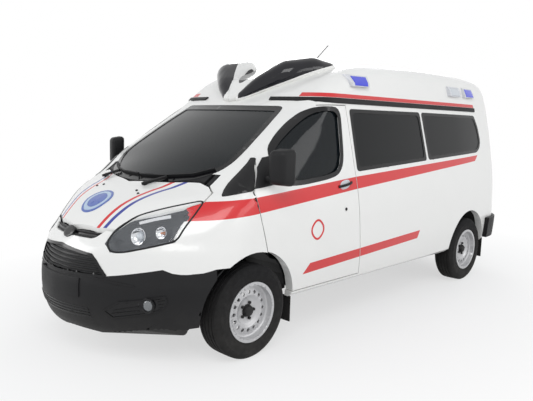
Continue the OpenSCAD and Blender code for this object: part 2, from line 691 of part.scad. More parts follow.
// Rear axle tube, the springs and exhaust this far under its middle, and the room over it
axle_r = 42;
spring_drop = 93;
axle_room = 40;
spring_z = hub_z - spring_drop;
module rear_axle() color("#333333") placed() {
    translate([0, wheelbase, hub_z]) rotate([0, 90, 0]) {
        cylinder(r = axle_r, h = track - tyre_w - 200, center = true);
        cylinder(r = spindle_r, h = 2 * spindle_end, center = true);
    }
    mirrored() translate([500, wheelbase, 0]) {
        translate([0, -640, spring_z]) cube([70, 1280, 24]);
        translate([0, -500, spring_z + 24]) cube([70, 1000, 14]);
        translate([0, -40, spring_z]) cube([70, 80, spring_drop]);
        for (y = [-640, 600]) translate([0, y, spring_z]) cube([70, 40, floor_z - spring_z]);
    }
}

module engine() color("gray") placed() {
    translate([-330, -760, engine_z]) cube([660, 460, 420]);
    translate([-250, -700, engine_z + 400]) cube([500, 340, 110]);
    translate([-200, -380, engine_z]) cube([400, 200, 250]);
}

module exhaust() color("gray") placed() {
    translate([-300, 200, spring_z]) rotate([-90, 0, 0]) cylinder(r = 32, h = wheelbase + 100);
    translate([-300, 2000, spring_z]) rotate([-90, 0, 0]) cylinder(r = 85, h = 600);
    for (y = [700, 2700]) translate([-320, y, spring_z]) cube([40, 20, floor_z - spring_z]);
}

// Hinge pins with the arms that carry them
module hinge_pins() color("gray") placed() mirrored() {
    for (z = HINGE_Z) translate([hinge_x, hinge_y, z]) {
        cylinder(r = hinge_r, h = 56, center = true);
        translate([pillar_x - hinge_x - 6, -hinge_r, -10]) cube([hinge_x - pillar_x + 6, 2 * hinge_r, 20]);
    }
    at_rear_hinges() {
        cylinder(r = hinge_r, h = 104, center = true);
        translate([-hinge_r, -hinge_r, -20]) cube([50, 2 * hinge_r, 40]);
        translate([20, -70, -20]) cube([22, 70, 40]);
    }
    translate(bonnet_hinge) {
        translate([-bonnet_arm_w / 2 - 4, 0, 0]) rotate([0, 90, 0]) cylinder(r = bonnet_pin_r, h = 90);
    }
}

// Towing eye under the rear of the floor
eye_r = 20;
eye_t = 16;
module towing_eye() color("dimgray") placed() translate([-350, wheelbase + 860, floor_z]) difference() {
    union() {
        translate([-eye_t / 2, -60, -70]) cube([eye_t, 120, 70]);
        translate([-eye_t / 2, 0, -70]) rotate([0, 90, 0]) cylinder(r = 45, h = eye_t);
        translate([-40, -60, -12]) cube([80, 120, 12]);
    }
    translate([-eye_t, 0, -70]) rotate([0, 90, 0]) cylinder(r = eye_r, h = 2 * eye_t);
}

// Wheel houses start this far inside the rear tyres
house_gap = 70;
house_x = track / 2 - tyre_w / 2 - house_gap;
firewall_y = -150;
floor_in = wall + seam;
module floor_pan() color("gray") placed() difference() {
    intersection() {
        union() {
            translate([-far, arch_r + 20, floor_z]) cube([2 * far, wheelbase + 500, floor_t]);
            translate([-430, firewall_y, floor_z]) cube([860, 800, floor_t]);
            translate([-430, firewall_y, floor_z]) cube([860, 30, dash_z - floor_z]);
            mirrored() translate([house_x, wheelbase, arch_z]) rotate([0, 90, 0]) difference() {
                cylinder(r = arch_r + 40, h = 300, $fn = 32);
                translate([-30, -far, -1]) cube([far, 2 * far, far]);
            }
        }
        room(floor_in);
    }
    mirrored() difference() {
        plug(DOOR, shut_gap);
        room(floor_in + 8);
    }
    mirrored() translate([house_x + 30, wheelbase, arch_z]) rotate([0, 90, 0]) cylinder(r = arch_r + 8, h = 400, $fn = 32);
    translate([0, wheelbase, hub_z]) rotate([0, 90, 0]) cylinder(r = axle_r + axle_room, h = 2 * house_x, center = true);
}

partition_y = 1360;
module partition() color("whitesmoke") placed() difference() {
    intersection() {
        translate([-far, partition_y, floor_z + floor_t]) cube([2 * far, 30, high]);
        room(floor_in);
    }
    translate([-450, partition_y - 1, 1250]) cube([900, 40, 400]);
}

dash_w = pillar_x - 70;
dash_y = firewall_y + 30;
dash_z = 1085;
module dashboard() color("#333333") placed() difference() {
    dash_shape();
    arches(20);
}
module dash_shape() intersection() {
    union() {
        hull() {
            translate([-dash_w, dash_y, 860]) cube([2 * dash_w, 150, 225]);
            translate([-dash_w, dash_y + 20, 900]) cube([2 * dash_w, 260, 130]);
        }
        hull() {
            translate([-dash_w, -330, dash_z]) cube([2 * dash_w, 40, 30]);
            translate([-dash_w, dash_y, dash_z]) cube([2 * dash_w, 160, 45]);
        }
    }
    skin(wall + seam);
}

column = [400, 330, 1010];
module steering_wheel() color("black") placed() translate(column) rotate([118, 0, 0]) {
    rotate_extrude($fn = 48) translate([180, 0]) circle(r = 15);
    cylinder(r = 55, h = 40, center = true);
    for (a = [90, 210, 330]) rotate([0, 0, a]) translate([40, -14, -8]) cube([135, 28, 16]);
    translate([0, 0, 15]) cylinder(r = 25, h = 170);
}

// Side outline of a pad: a bar with round ends between two points
function bar(p, q, r) = let(a = atan2(q.y - p.y, q.x - p.x))
    concat([for (i = [-90:15:90]) q + r * [cos(a + i), sin(a + i)]],
           [for (i = [90:15:270]) p + r * [cos(a + i), sin(a + i)]]);
// A seat pad: its side outline, with its corners rounded seen along the direction it faces
module pad(p, q, r, w, corner) intersection() {
    l = norm(q - p) + 2 * r;
    translate([-w / 2, 0, 0]) rotate([90, 0, 90]) linear_extrude(w) polygon(bar(p, q, r));
    translate([0, (p.x + q.x) / 2, (p.y + q.y) / 2]) rotate([atan2(q.y - p.y, q.x - p.x), 0, 0])
        linear_extrude(4 * r, center = true) polygon(rounded([[-w / 2 - 1, -l / 2 - 1], [w / 2 + 1, -l / 2 - 1],
            [w / 2 + 1, l / 2 + 1], [-w / 2 - 1, l / 2 + 1]], corner));
}
function rounded(box, r) = [for (i = [0:3]) for (a = [180:15:270])
    box[i] + r * [[1, 1], [-1, 1], [-1, -1], [1, -1]][i] + r * [cos(a + 90 * i), sin(a + 90 * i)]];
seat_x = 415;
module seats() color("#333333") placed() mirrored() translate([seat_x, 0, 0]) {
    pad([480, 700], [960, 700], 60, 570, 90);
    pad([970, 760], [1150, 1330], 55, 540, 100);
    pad([1160, 1390], [1185, 1540], 45, 260, 60);
    translate([-215, 520, floor_z + floor_t]) cube([430, 400, 170]);
}

floor_pan();
side_panel_left();
side_panel_right();
roof();
wing_left();
wing_right();
bonnet();
cowl();
windscreen();
nose_panel();
front_bumper();
grilles();
headlamps();
front_door_left();
front_door_right();
door_glass_left();
door_glass_right();
sliding_door();
side_glass();
rear_door_left();
rear_door_right();
rear_glass_left();
rear_glass_right();
rear_bumper();
tail_lamps();
beacon_pod();
beacon_lenses();
lamp_housings();
blue_lamps();
clear_lamps();
aerial();
mirror_left();
mirror_right();
mud_flaps();
wheel_liners();
tyre_front_left();
rim_front_left();
tyre_front_right();
rim_front_right();
tyre_rear_left();
rim_rear_left();
tyre_rear_right();
rim_rear_right();
knuckle_left();
knuckle_right();
front_subframe();
rear_axle();
engine();
exhaust();
hinge_pins();
towing_eye();
partition();
dashboard();
steering_wheel();
seats();
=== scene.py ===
import bmesh
import bpy
import json
import math
import numpy as np
from mathutils import Matrix, Vector

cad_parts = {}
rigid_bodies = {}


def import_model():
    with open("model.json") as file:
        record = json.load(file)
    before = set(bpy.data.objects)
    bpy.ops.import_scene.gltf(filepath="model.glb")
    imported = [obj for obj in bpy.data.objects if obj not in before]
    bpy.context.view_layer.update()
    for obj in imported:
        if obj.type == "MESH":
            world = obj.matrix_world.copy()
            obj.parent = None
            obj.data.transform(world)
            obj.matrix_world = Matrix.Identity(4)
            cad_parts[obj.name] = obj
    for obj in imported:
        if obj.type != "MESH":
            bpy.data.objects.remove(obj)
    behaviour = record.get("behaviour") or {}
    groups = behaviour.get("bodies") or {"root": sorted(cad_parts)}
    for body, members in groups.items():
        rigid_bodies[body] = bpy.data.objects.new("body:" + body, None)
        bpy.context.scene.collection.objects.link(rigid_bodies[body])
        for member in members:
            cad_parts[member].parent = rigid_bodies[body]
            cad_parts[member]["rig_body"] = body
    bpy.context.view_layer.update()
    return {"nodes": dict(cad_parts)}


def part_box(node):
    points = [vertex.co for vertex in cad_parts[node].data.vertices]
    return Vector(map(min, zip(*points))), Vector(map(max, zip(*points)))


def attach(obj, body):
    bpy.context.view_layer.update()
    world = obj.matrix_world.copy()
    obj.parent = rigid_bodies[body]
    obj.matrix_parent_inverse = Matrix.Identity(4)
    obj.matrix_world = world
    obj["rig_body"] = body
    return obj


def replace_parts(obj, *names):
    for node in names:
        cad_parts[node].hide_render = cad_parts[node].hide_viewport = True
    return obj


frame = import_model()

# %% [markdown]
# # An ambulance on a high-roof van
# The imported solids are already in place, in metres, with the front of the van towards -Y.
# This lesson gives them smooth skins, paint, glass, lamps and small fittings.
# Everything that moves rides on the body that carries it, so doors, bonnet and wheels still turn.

nodes = frame["nodes"]

# %% [markdown]
# ## Camera
# The picture was taken from the front left corner, at about the height of a standing person.
# A camera could be placed by eye, but the axles, sills and roof give enough points to solve for it.
# The focal length and place below come from that fit, so the render can be laid over the picture.

# %% Camera
FILM_WIDTH, PICTURE_WIDTH = 36, 533
def look(place, yaw, pitch, roll, focal_px):
    """Camera at a place, turned from +Y towards -X by yaw, down by pitch, rolled by roll."""
    ahead = Vector((-math.sin(yaw) * math.cos(pitch), math.cos(yaw) * math.cos(pitch), -math.sin(pitch)))
    side = Vector((math.cos(yaw), math.sin(yaw), 0))
    up = side.cross(ahead)
    side_r = side * math.cos(roll) + up * math.sin(roll)
    up_r = -side * math.sin(roll) + up * math.cos(roll)
    cam = bpy.data.objects.new("camera", bpy.data.cameras.new("camera"))
    cam.matrix_world = Matrix(((side_r.x, up_r.x, -ahead.x, place[0]), (side_r.y, up_r.y, -ahead.y, place[1]),
                               (side_r.z, up_r.z, -ahead.z, place[2]), (0, 0, 0, 1)))
    cam.data.sensor_width = FILM_WIDTH
    cam.data.lens = focal_px / PICTURE_WIDTH * FILM_WIDTH
    cam.data.clip_end = 200
    bpy.context.scene.collection.objects.link(cam)
    bpy.context.scene.camera = cam
    return cam

camera = look((3.8202, -4.5121, 1.6991), 0.7687, 0.1366, 0.0299, 589.12)
print("lens", round(camera.data.lens, 2), "mm")

# %% [markdown]
# ## The form of the body
# A van body is pressed from sheet over tools whose sections follow a few long curves.
# The solids carry that form as flat facets, which is enough to build with but shows in reflections.
# Here the same curves are joined smoothly, and a depth below the skin is worked out for any point.
# Every panel can then be drawn onto one common skin, so neighbouring panels stay flush.

# %% Curves of the body
AXLE = -1.67
EDGE = 110.0
NOSE_START, NOSE_BOW, TAIL_END, TAIL_BOW = 1000, 650, 4290, (120, 180)
def through(*points):
    """A smooth curve through points that never swings past them."""
    x, y = np.array(points, float).T
    h, n = np.diff(x), len(x)
    d = np.diff(y) / h
    m = np.zeros(n)
    m[0], m[-1] = d[0], d[-1]
    for i in range(1, n - 1):
        if d[i - 1] * d[i] > 0:
            a, b = 2 * h[i] + h[i - 1], h[i] + 2 * h[i - 1]
            m[i] = (a + b) / (a / d[i - 1] + b / d[i])
    def at(v):
        v = np.clip(v, x[0], x[-1])
        k = np.clip(np.searchsorted(x, v) - 1, 0, n - 2)
        t = (v - x[k]) / h[k]
        return ((1 + 2 * t) * (1 - t) ** 2 * y[k] + t * (1 - t) ** 2 * h[k] * m[k]
                + t * t * (3 - 2 * t) * y[k + 1] + t * t * (t - 1) * h[k] * m[k + 1])
    return at

top_line = through((-1200, 640), (-1000, 830), (-900, 920), (-820, 972), (-740, 1030), (-660, 1085), (-560, 1138),
                   (-460, 1178), (-410, 1197), (-360, 1225), (-200, 1325), (0, 1450), (200, 1575), (400, 1697),
                   (560, 1792), (640, 1850), (760, 1945), (880, 2025), (1020, 2095), (1180, 2150), (1350, 2195),
                   (1600, 2230), (2000, 2252), (2600, 2262), (3300, 2250), (3800, 2215), (4100, 2160), (4300, 2090))
sweep = through((-1000, 420), (-800, 400), (-410, 420), (-150, 370), (100, 250), (600, 230), (1200, 80), (1800, 0))
crown = through((600, 0), (1300, 70))
nose_line = through((200, 100), (300, 35), (450, 0), (560, 0), (640, 15), (770, 50), (810, 65), (880, 105), (950, 135),
                    (1100, 210), (1300, 320), (3000, 1300))
side_line = through((200, 925), (300, 948), (450, 975), (700, 993), (900, 992), (1050, 985), (1200, 968), (1300, 951),
                    (1900, 852), (2000, 832), (2100, 805), (2300, 740))
taper = through((-1000, 120), (-700, 45), (-400, 10), (0, 0), (3000, 0), (3600, 15), (4000, 45), (4340, 95))
cab_taper = through((-400, 110), (0, 70), (500, 25), (1000, 0))
tail_line = through((200, 50), (400, 10), (600, 0), (750, 0), (900, 15), (1400, 70), (1900, 190), (2050, 250), (2300, 390))

# %% Depth below the skin
def depth(points):
    """How far points lie below the skin, in metres; negative outside."""
    x, s, z = (np.asarray(points, float) * 1000).T
    s = s - AXLE * 1000
    m = np.abs(x) / 1000
    b = s - sweep(s) * m * m
    k = (top_line(b + 20) - top_line(b - 20)) / 40
    up = (top_line(b) - crown(s) * m * m - z) / np.sqrt(1 + k * k)
    t = np.clip((z - 1150) / 500, 0, 1)
    side = side_line(z) - taper(s) - cab_taper(s) * t * t * (3 - 2 * t) - np.abs(x)
    k = (nose_line(z + 20) - nose_line(z - 20)) / 40
    ahead = (s + NOSE_START - nose_line(z) - NOSE_BOW * m * m) / np.sqrt(1 + (1.3 * m) ** 2 + k * k)
    behind = TAIL_END - tail_line(z) - TAIL_BOW[0] * m * m - TAIL_BOW[1] * m ** 4 - s
    behind = behind / np.sqrt(1 + (0.24 * m + 0.72 * m ** 3) ** 2)
    return (EDGE - np.sqrt(sum(np.maximum(EDGE - v, 0) ** 2 for v in (up, side, ahead, behind)))) / 1000

def outward(points):
    """Direction out of the skin at points."""
    p = np.asarray(points, float)
    g = np.stack([depth(p - e) - depth(p + e) for e in np.eye(3) * 0.004], 1)
    return g / np.maximum(np.linalg.norm(g, axis=1, keepdims=True), 1e-9)

def to_skin(points, inset=0.0):
    """Points moved out or in until they lie at a depth below the skin."""
    p = np.array(points, float)
    for _ in range(8):
        p += outward(p) * (depth(p) - inset)[:, None] * 0.9
    return p

print("skin at the front:", np.round(to_skin([[0, -2.6, 0.5]]), 3))

# %% [markdown]
# ## Panels
# A panel is a copy of its solid. Faces that surely lie on the outside are found first, and the search spreads from them
# to neighbours that turn only a little. What it finds is cut up finely and drawn onto the smooth skin;
# the folded edges and the inside stay as they are.
# Subdividing alone would keep the facets, so the points have to move as well.
# The shading directions are taken from the skin, which is what makes a long panel reflect evenly.

# %% Mesh helpers
scene = bpy.context.scene
def new_object(name, mesh):
    obj = bpy.data.objects.new(name, mesh)
    scene.collection.objects.link(obj)
    return obj

def to_object(bm, name):
    """The finished mesh of a bmesh, as an object."""
    mesh = bpy.data.meshes.new(name)
    bm.to_mesh(mesh)
    bm.free()
    return new_object(name, mesh)

def only(obj):
    bpy.ops.object.select_all(action="DESELECT")
    obj.select_set(True)
    bpy.context.view_layer.objects.active = obj

def apply(obj, kind, **settings):
    mod = obj.modifiers.new(kind.lower(), kind)
    for key, value in settings.items():
        setattr(mod, key, value)
    only(obj)
    bpy.ops.object.modifier_apply(modifier=mod.name)

def edited(obj, *steps):
    """Operators run in edit mode, each on the whole mesh."""
    only(obj)
    bpy.ops.object.mode_set(mode="EDIT")
    for operator, settings in steps:
        bpy.ops.mesh.select_all(action="SELECT")
        operator(**settings)
    bpy.ops.object.mode_set(mode="OBJECT")

JOIN = (bpy.ops.mesh.remove_doubles, {"threshold": 1e-5})
FACE_OUT = (bpy.ops.mesh.normals_make_consistent, {"inside": False})

def all_skin(bm):
    """A mark on every face, for shapes that are skin all over."""
    layer = bm.faces.layers.int.new("skin")
    for f in bm.faces:
        f[layer] = 1
    return layer

def refine(bm, layer, longest):
    """Marked faces cut up until no edge of theirs is longer than asked for."""
    for _ in range(8):
        long = [e for e in bm.edges if any(f[layer] for f in e.link_faces) and e.calc_length() > longest]
        if not long:
            break
        bmesh.ops.subdivide_edges(bm, edges=long, cuts=1)
        bmesh.ops.triangulate(bm, faces=[f for f in bm.faces if len(f.verts) > 3])
        inner = [e for e in bm.edges if len(e.link_faces) == 2 and all(f[layer] for f in e.link_faces)]
        bmesh.ops.beautify_fill(bm, faces=[f for f in bm.faces if f[layer]], edges=inner, method="ANGLE")

print("helpers ready")

# %% Panel maker
OUTWARD, SQUARE_ON = 0.6, 0.97
PROUD, CLOSE = 0.012, 0.010

def lie_of(bm):
    """Each face with how squarely it faces out of the skin and how deep it lies."""
    mid = np.array([f.calc_center_median() for f in bm.faces])
    facing = (np.array([f.normal for f in bm.faces]) * outward(mid)).sum(1)
    return list(zip(bm.faces, facing, depth(mid)))

def slide(points, walls, inset):
    """Points moved onto the skin, each kept in the planes of the cut edges that it lies on."""
    p = np.array(points, float)
    fixed = np.zeros((len(p), 2, 3))
    count = np.zeros(len(p), int)
    for i, found in enumerate(walls):
        for n in found:
            if count[i] == 0 or (count[i] == 1 and abs(np.dot(fixed[i, 0], n)) < 0.95):
                fixed[i, count[i]] = n
                count[i] += 1
    line = np.cross(fixed[:, 0], fixed[:, 1])
    line /= np.maximum(np.linalg.norm(line, axis=1, keepdims=True), 1e-9)
    for _ in range(8):
        g = outward(p)
        way = g - (g * fixed[:, 0]).sum(1, keepdims=True) * fixed[:, 0]
        way = np.where((count == 2)[:, None], line, way)
        rate = (way * g).sum(1)
        step = np.where(np.abs(rate) > 0.08, (depth(p) - inset) / np.where(np.abs(rate) > 0.08, rate, 1), 0)
        p += way * np.clip(step, -0.02, 0.02)[:, None]
    return p

def panel(node, inset=0.0, longest=0.05, sheet=0.0, name=None, reach=0.055, turn=0.6):
    """A smooth piece that stands for a node. With sheet, only the outside is kept, with that thickness."""
    bm = bmesh.new()
    bm.from_mesh(nodes[node].data)
    bmesh.ops.remove_doubles(bm, verts=bm.verts, dist=1e-5)
    bmesh.ops.dissolve_limit(bm, angle_limit=0.004, verts=bm.verts, edges=bm.edges)
    bmesh.ops.triangulate(bm, faces=bm.faces)
    bm.normal_update()
    layer = bm.faces.layers.int.new("skin")
    rows = lie_of(bm)
    near = {f for f, a, d in rows if a > OUTWARD and inset - PROUD < d < inset + reach}
    found = {f for f, a, d in rows if a > SQUARE_ON and abs(d - inset) < CLOSE}
    todo = list(found)
    while todo:
        f = todo.pop()
        for g in {g for e in f.edges for g in e.link_faces} & near - found:
            if f.normal.angle(g.normal, 9) < turn:
                found.add(g)
                todo.append(g)
    for f in bm.faces:
        f[layer] = int(f in found)
    refine(bm, layer, longest)
    bm.normal_update()
    outer = [v for v in bm.verts if any(f[layer] for f in v.link_faces)]
    if outer:
        walls = [[tuple(f.normal) for f in v.link_faces if not f[layer]] for v in outer]
        for v, p in zip(outer, slide([v.co for v in outer], walls, inset)):
            v.co = p
    if sheet:
        bmesh.ops.delete(bm, geom=[f for f in bm.faces if not f[layer]], context="FACES")
    skin = [bool(f[layer]) for f in bm.faces]
    bm.faces.layers.int.remove(layer)
    obj = to_object(bm, name or node + "_skin")
    mesh = obj.data
    mesh.attributes.new("outside", "FLOAT", "FACE").data.foreach_set("value", np.array(skin, np.float32))
    if sheet:
        apply(obj, "SOLIDIFY", thickness=sheet, offset=-1)
        obj.data.shade_smooth()
        obj.data.set_sharp_from_angle(angle=0.6)
    else:
        mesh.shade_smooth()
        vn = outward(np.array([v.co for v in mesh.vertices]))
        normals = np.empty((len(mesh.loops), 3))
        for f, on in zip(mesh.polygons, skin):
            for i in f.loop_indices:
                normals[i] = vn[mesh.loops[i].vertex_index] if on else f.normal
        mesh.normals_split_custom_set([tuple(n) for n in normals])
    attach(obj, nodes[node]["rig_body"])
    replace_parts(obj, node)
    return obj

# %% [markdown]
# ## Finishes
# Real finishes vary a little: paint has soft tone changes and road dust low down, moulded plastic has a grain.
# Effects that several finishes share are node groups, built once, with the amounts set where they are used.
# Patterns read Object coordinates, so they stay on the piece when a door or wheel turns.

# %% Shared effects
def group(name, inputs, outputs):
    tree = bpy.data.node_groups.new(name, "ShaderNodeTree")
    for label, kind, value in inputs:
        tree.interface.new_socket(label, in_out="INPUT", socket_type=kind).default_value = value
    for label, kind in outputs:
        tree.interface.new_socket(label, in_out="OUTPUT", socket_type=kind)
    return tree, tree.nodes.new("NodeGroupInput"), tree.nodes.new("NodeGroupOutput")

def add(tree, kind, links=(), **settings):
    """A node with its settings and its inputs, each a value or another node's output."""
    node = tree.nodes.new("ShaderNode" + kind)
    for key, value in settings.items():
        setattr(node, key, value)
    for key, value in dict(links).items():
        if isinstance(value, bpy.types.NodeSocket):
            tree.links.new(value, node.inputs[key])
        else:
            node.inputs[key].default_value = value
    return node

def maths(tree, operation, *values, clamp=False):
    """The output of one Math node."""
    return add(tree, "Math", dict(enumerate(values)), operation=operation, use_clamp=clamp).outputs[0]

def mixed(tree, share, first, second):
    """The colour of one Mix node."""
    return add(tree, "Mix", {"Factor": share, 6: first, 7: second}, data_type="RGBA").outputs[2]

COLOUR, FLOAT = "NodeSocketColor", "NodeSocketFloat"
tone, gi, go = group("soft_tone", [("Colour", COLOUR, (1, 1, 1, 1)), ("Amount", FLOAT, 0.05), ("Scale", FLOAT, 3.0)],
                     [("Colour", COLOUR), ("Value", FLOAT)])
place = add(tone, "TexCoord").outputs["Object"]
cloud = add(tone, "TexNoise", {"Vector": place, "Scale": gi.outputs["Scale"], "Detail": 4.0}).outputs["Fac"]
dark = maths(tone, "MULTIPLY", cloud, gi.outputs["Amount"])
kept = maths(tone, "SUBTRACT", 1.0, dark)
dimmed = add(tone, "HueSaturation", {"Color": gi.outputs["Colour"], "Value": kept}).outputs[0]
tone.links.new(dimmed, go.inputs["Colour"])
tone.links.new(cloud, go.inputs["Value"])

dust, gi, go = group("road_dust", [("Colour", COLOUR, (1, 1, 1, 1)), ("Dust", COLOUR, (0.3, 0.28, 0.25, 1)),
                                   ("Height", FLOAT, 0.8), ("Amount", FLOAT, 0.2)], [("Colour", COLOUR), ("Mask", FLOAT)])
place = add(dust, "TexCoord").outputs["Object"]
up = add(dust, "SeparateXYZ", {0: place}).outputs["Z"]
low = add(dust, "MapRange", {"Value": up, "From Min": gi.outputs["Height"], "From Max": 0.1}).outputs[0]
speck = add(dust, "TexNoise", {"Vector": place, "Scale": 14.0, "Detail": 6.0, "Roughness": 0.7}).outputs["Fac"]
both = maths(dust, "MULTIPLY", low, speck)
mask = maths(dust, "MULTIPLY", both, gi.outputs["Amount"], clamp=True)
dust.links.new(mixed(dust, mask, gi.outputs["Colour"], gi.outputs["Dust"]), go.inputs["Colour"])
dust.links.new(mask, go.inputs["Mask"])

grain, gi, go = group("moulded_grain", [("Scale", FLOAT, 900.0)], [("Height", FLOAT)])
place = add(grain, "TexCoord").outputs["Object"]
cells = add(grain, "TexVoronoi", {"Vector": place, "Scale": gi.outputs["Scale"]}, feature="F1")
grain.links.new(cells.outputs["Distance"], go.inputs["Height"])
print("effects:", [g.name for g in bpy.data.node_groups])

# %% Finish maker
def use(tree, effect, **links):
    return add(tree, "Group", links, node_tree=effect)

def rgba(c):
    return (*c, 1.0)

def finish(name, colour, rough, metal=0.0, coat=0.0, vary=0.06, scale=3.0, dirt=0.0, dirt_height=0.8, bumps=0.0,
           grain_scale=900.0, pattern=None, alpha=1.0, ior=1.45, emit=0.0, shine=0.5):
    """A finish with soft tone, road dust and grain. A pattern is a function that gives the colour socket."""
    mat = bpy.data.materials.new(name)
    mat.use_nodes = True
    tree = mat.node_tree
    shader = tree.nodes["Principled BSDF"]
    for label, value in (("Metallic", metal), ("Coat Weight", coat), ("Coat Roughness", 0.04), ("IOR", ior),
                         ("Specular IOR Level", shine), ("Alpha", alpha)):
        shader.inputs[label].default_value = value
    start = pattern(tree) if pattern else rgba(colour)
    toned = use(tree, tone, Colour=start, Amount=vary, Scale=scale)
    end = toned.outputs["Colour"]
    if dirt:
        end = use(tree, dust, Colour=end, Amount=dirt, Height=dirt_height).outputs["Colour"]
    tree.links.new(end, shader.inputs["Base Color"])
    spread = add(tree, "MapRange", {"Value": toned.outputs["Value"], "To Min": rough * 0.8, "To Max": rough * 1.25})
    tree.links.new(spread.outputs[0], shader.inputs["Roughness"])
    if bumps:
        height = use(tree, grain, Scale=grain_scale).outputs["Height"]
        bump = add(tree, "Bump", {"Height": height, "Strength": bumps, "Distance": 0.001})
        tree.links.new(bump.outputs[0], shader.inputs["Normal"])
    if emit:
        shader.inputs["Emission Color"].default_value = rgba(colour)
        shader.inputs["Emission Strength"].default_value = emit
    return mat

# %% [markdown]
# ### Stripes
# On the van the stripes are cut from coloured film. Strips of mesh would need care at every shut line,
# so they are drawn in the paint instead: each stripe is an outline on the side of the van,
# and a point takes its colour when it lies on the inner side of all the outline's edges.

# %% Stripe outlines
SHARP = 700.0
def inside(tree, a, b, outline):
    """1 inside a convex outline in the plane of two coordinates, 0 outside."""
    found = None
    for (a0, b0), (a1, b1) in zip(outline, outline[1:] + outline[:1]):
        length = math.hypot(a1 - a0, b1 - b0)
        ka, kb = -(b1 - b0) / length, (a1 - a0) / length
        part = maths(tree, "MULTIPLY_ADD", a, ka, -(a0 * ka + b0 * kb))
        edge = maths(tree, "MULTIPLY_ADD", b, kb, part)
        edge = maths(tree, "MULTIPLY_ADD", edge, SHARP, 0.5, clamp=True)
        found = edge if found is None else maths(tree, "MULTIPLY", found, edge)
    return found

def coordinates(tree):
    place = add(tree, "TexCoord").outputs["Object"]
    xyz = add(tree, "SeparateXYZ", {0: place})
    return maths(tree, "ABSOLUTE", xyz.outputs["X"]), xyz.outputs["Y"], xyz.outputs["Z"]

WHITE, RED, BLUE = (0.84, 0.835, 0.81), (0.64, 0.008, 0.012), (0.02, 0.035, 0.30)
def behind(*points):
    return [(s + AXLE, z) for s, z in points]

SIDE_STRIPES = [behind((-0.617, 0.998), (0.02, 1.050), (0.02, 1.163), (-0.526, 1.113)),
                behind((0.02, 1.050), (1.187, 1.150), (1.187, 1.251), (0.02, 1.163)),
                behind((1.187, 1.150), (3.425, 1.314), (3.50, 1.376), (1.187, 1.251)),
                behind((0.51, 0.535), (2.189, 0.610), (2.229, 0.685), (0.589, 0.614)),
                behind((0.72, 1.893), (3.49, 1.893), (3.48, 1.926), (0.76, 1.926))]

def on_outside(tree, mask):
    """The mask kept only on the faces that a panel marks as its outside."""
    outside = add(tree, "Attribute", {}, attribute_name="outside").outputs["Fac"]
    return maths(tree, "MULTIPLY", mask, outside)

INNERMOST_STRIPE = 0.64
def side_pattern(tree):
    across, along, up = coordinates(tree)
    total = None
    for outline in SIDE_STRIPES:
        one = inside(tree, along, up, outline)
        total = one if total is None else maths(tree, "ADD", total, one, clamp=True)
    mask = maths(tree, "MULTIPLY", total, maths(tree, "GREATER_THAN", across, INNERMOST_STRIPE))
    return mixed(tree, on_outside(tree, mask), rgba(WHITE), rgba(RED))

def lane(tree, across, along, points, half):
    """1 on a narrow lane that follows points (distance along, distance across)."""
    a0, a1 = points[0][0], points[-1][0]
    t = add(tree, "MapRange", {"Value": along, "From Min": a0, "From Max": a1}).outputs[0]
    line = add(tree, "FloatCurve", {"Value": t})
    curve = line.mapping.curves[0]
    for i, (a, c) in enumerate(points):
        u = (a - a0) / (a1 - a0)
        if i == 0:
            curve.points[0].location = (u, c)
        elif i == len(points) - 1:
            curve.points[-1].location = (u, c)
        else:
            curve.points.new(u, c)
    line.mapping.update()
    off = maths(tree, "ABSOLUTE", maths(tree, "SUBTRACT", across, line.outputs[0]))
    return maths(tree, "MULTIPLY_ADD", off, -SHARP, half * SHARP + 0.5, clamp=True)

LANE_HALF = 0.013
RED_LANE = behind((-0.84, 0.244), (-0.72, 0.262), (-0.64, 0.283), (-0.50, 0.318), (-0.38, 0.356), (-0.24, 0.43))
BLUE_LANE = behind((-0.84, 0.292), (-0.72, 0.314), (-0.64, 0.338), (-0.50, 0.378), (-0.38, 0.420), (-0.24, 0.50))
def bonnet_pattern(tree):
    across, along = coordinates(tree)[:2]
    colour = rgba(WHITE)
    masks = [on_outside(tree, lane(tree, across, along, points, LANE_HALF)) for points in (RED_LANE, BLUE_LANE)]
    for mask, film in zip(masks, (RED, BLUE)):
        colour = mixed(tree, mask, colour, rgba(film))
    return colour

# %% The finishes
body_paint = finish("body_paint", WHITE, 0.30, coat=0.5, vary=0.03, dirt=0.12, dirt_height=0.75, pattern=side_pattern)
bonnet_paint = finish("bonnet_paint", WHITE, 0.30, coat=0.5, vary=0.03, pattern=bonnet_pattern)
plain_paint = finish("plain_paint", WHITE, 0.30, coat=0.5, vary=0.03)
lamp_shell = finish("lamp_shell", (0.66, 0.67, 0.70), 0.35, coat=0.3, vary=0.05)
black_plastic = finish("black_plastic", (0.010, 0.010, 0.011), 0.52, vary=0.25, scale=6, bumps=0.25, dirt=0.12,
                       dirt_height=0.5, shine=0.28)
gloss_black = finish("gloss_black", (0.004, 0.004, 0.005), 0.20, coat=0.15, vary=0.2, shine=0.3)
dark_metal = finish("dark_metal", (0.020, 0.020, 0.021), 0.6, metal=0.2, vary=0.4, scale=20, dirt=0.3, dirt_height=0.9,
                    shine=0.3)
cast_metal = finish("cast_metal", (0.26, 0.26, 0.27), 0.5, metal=0.8, vary=0.3, scale=25, bumps=0.4, grain_scale=300)
wheel_paint = finish("wheel_paint", (0.56, 0.56, 0.57), 0.36, metal=0.35, vary=0.12, scale=18, dirt=0.25, dirt_height=0.9)
tyre_rubber = finish("tyre_rubber", (0.010, 0.010, 0.011), 0.8, vary=0.4, scale=30, bumps=0.3, grain_scale=500,
                     dirt=0.12, dirt_height=0.75, shine=0.2)
floor_coat = finish("floor_coat", (0.20, 0.20, 0.21), 0.6, vary=0.2, scale=10)
seat_cloth = finish("seat_cloth", (0.030, 0.032, 0.040), 0.9, vary=0.35, scale=60, bumps=0.6, grain_scale=420, shine=0.2)
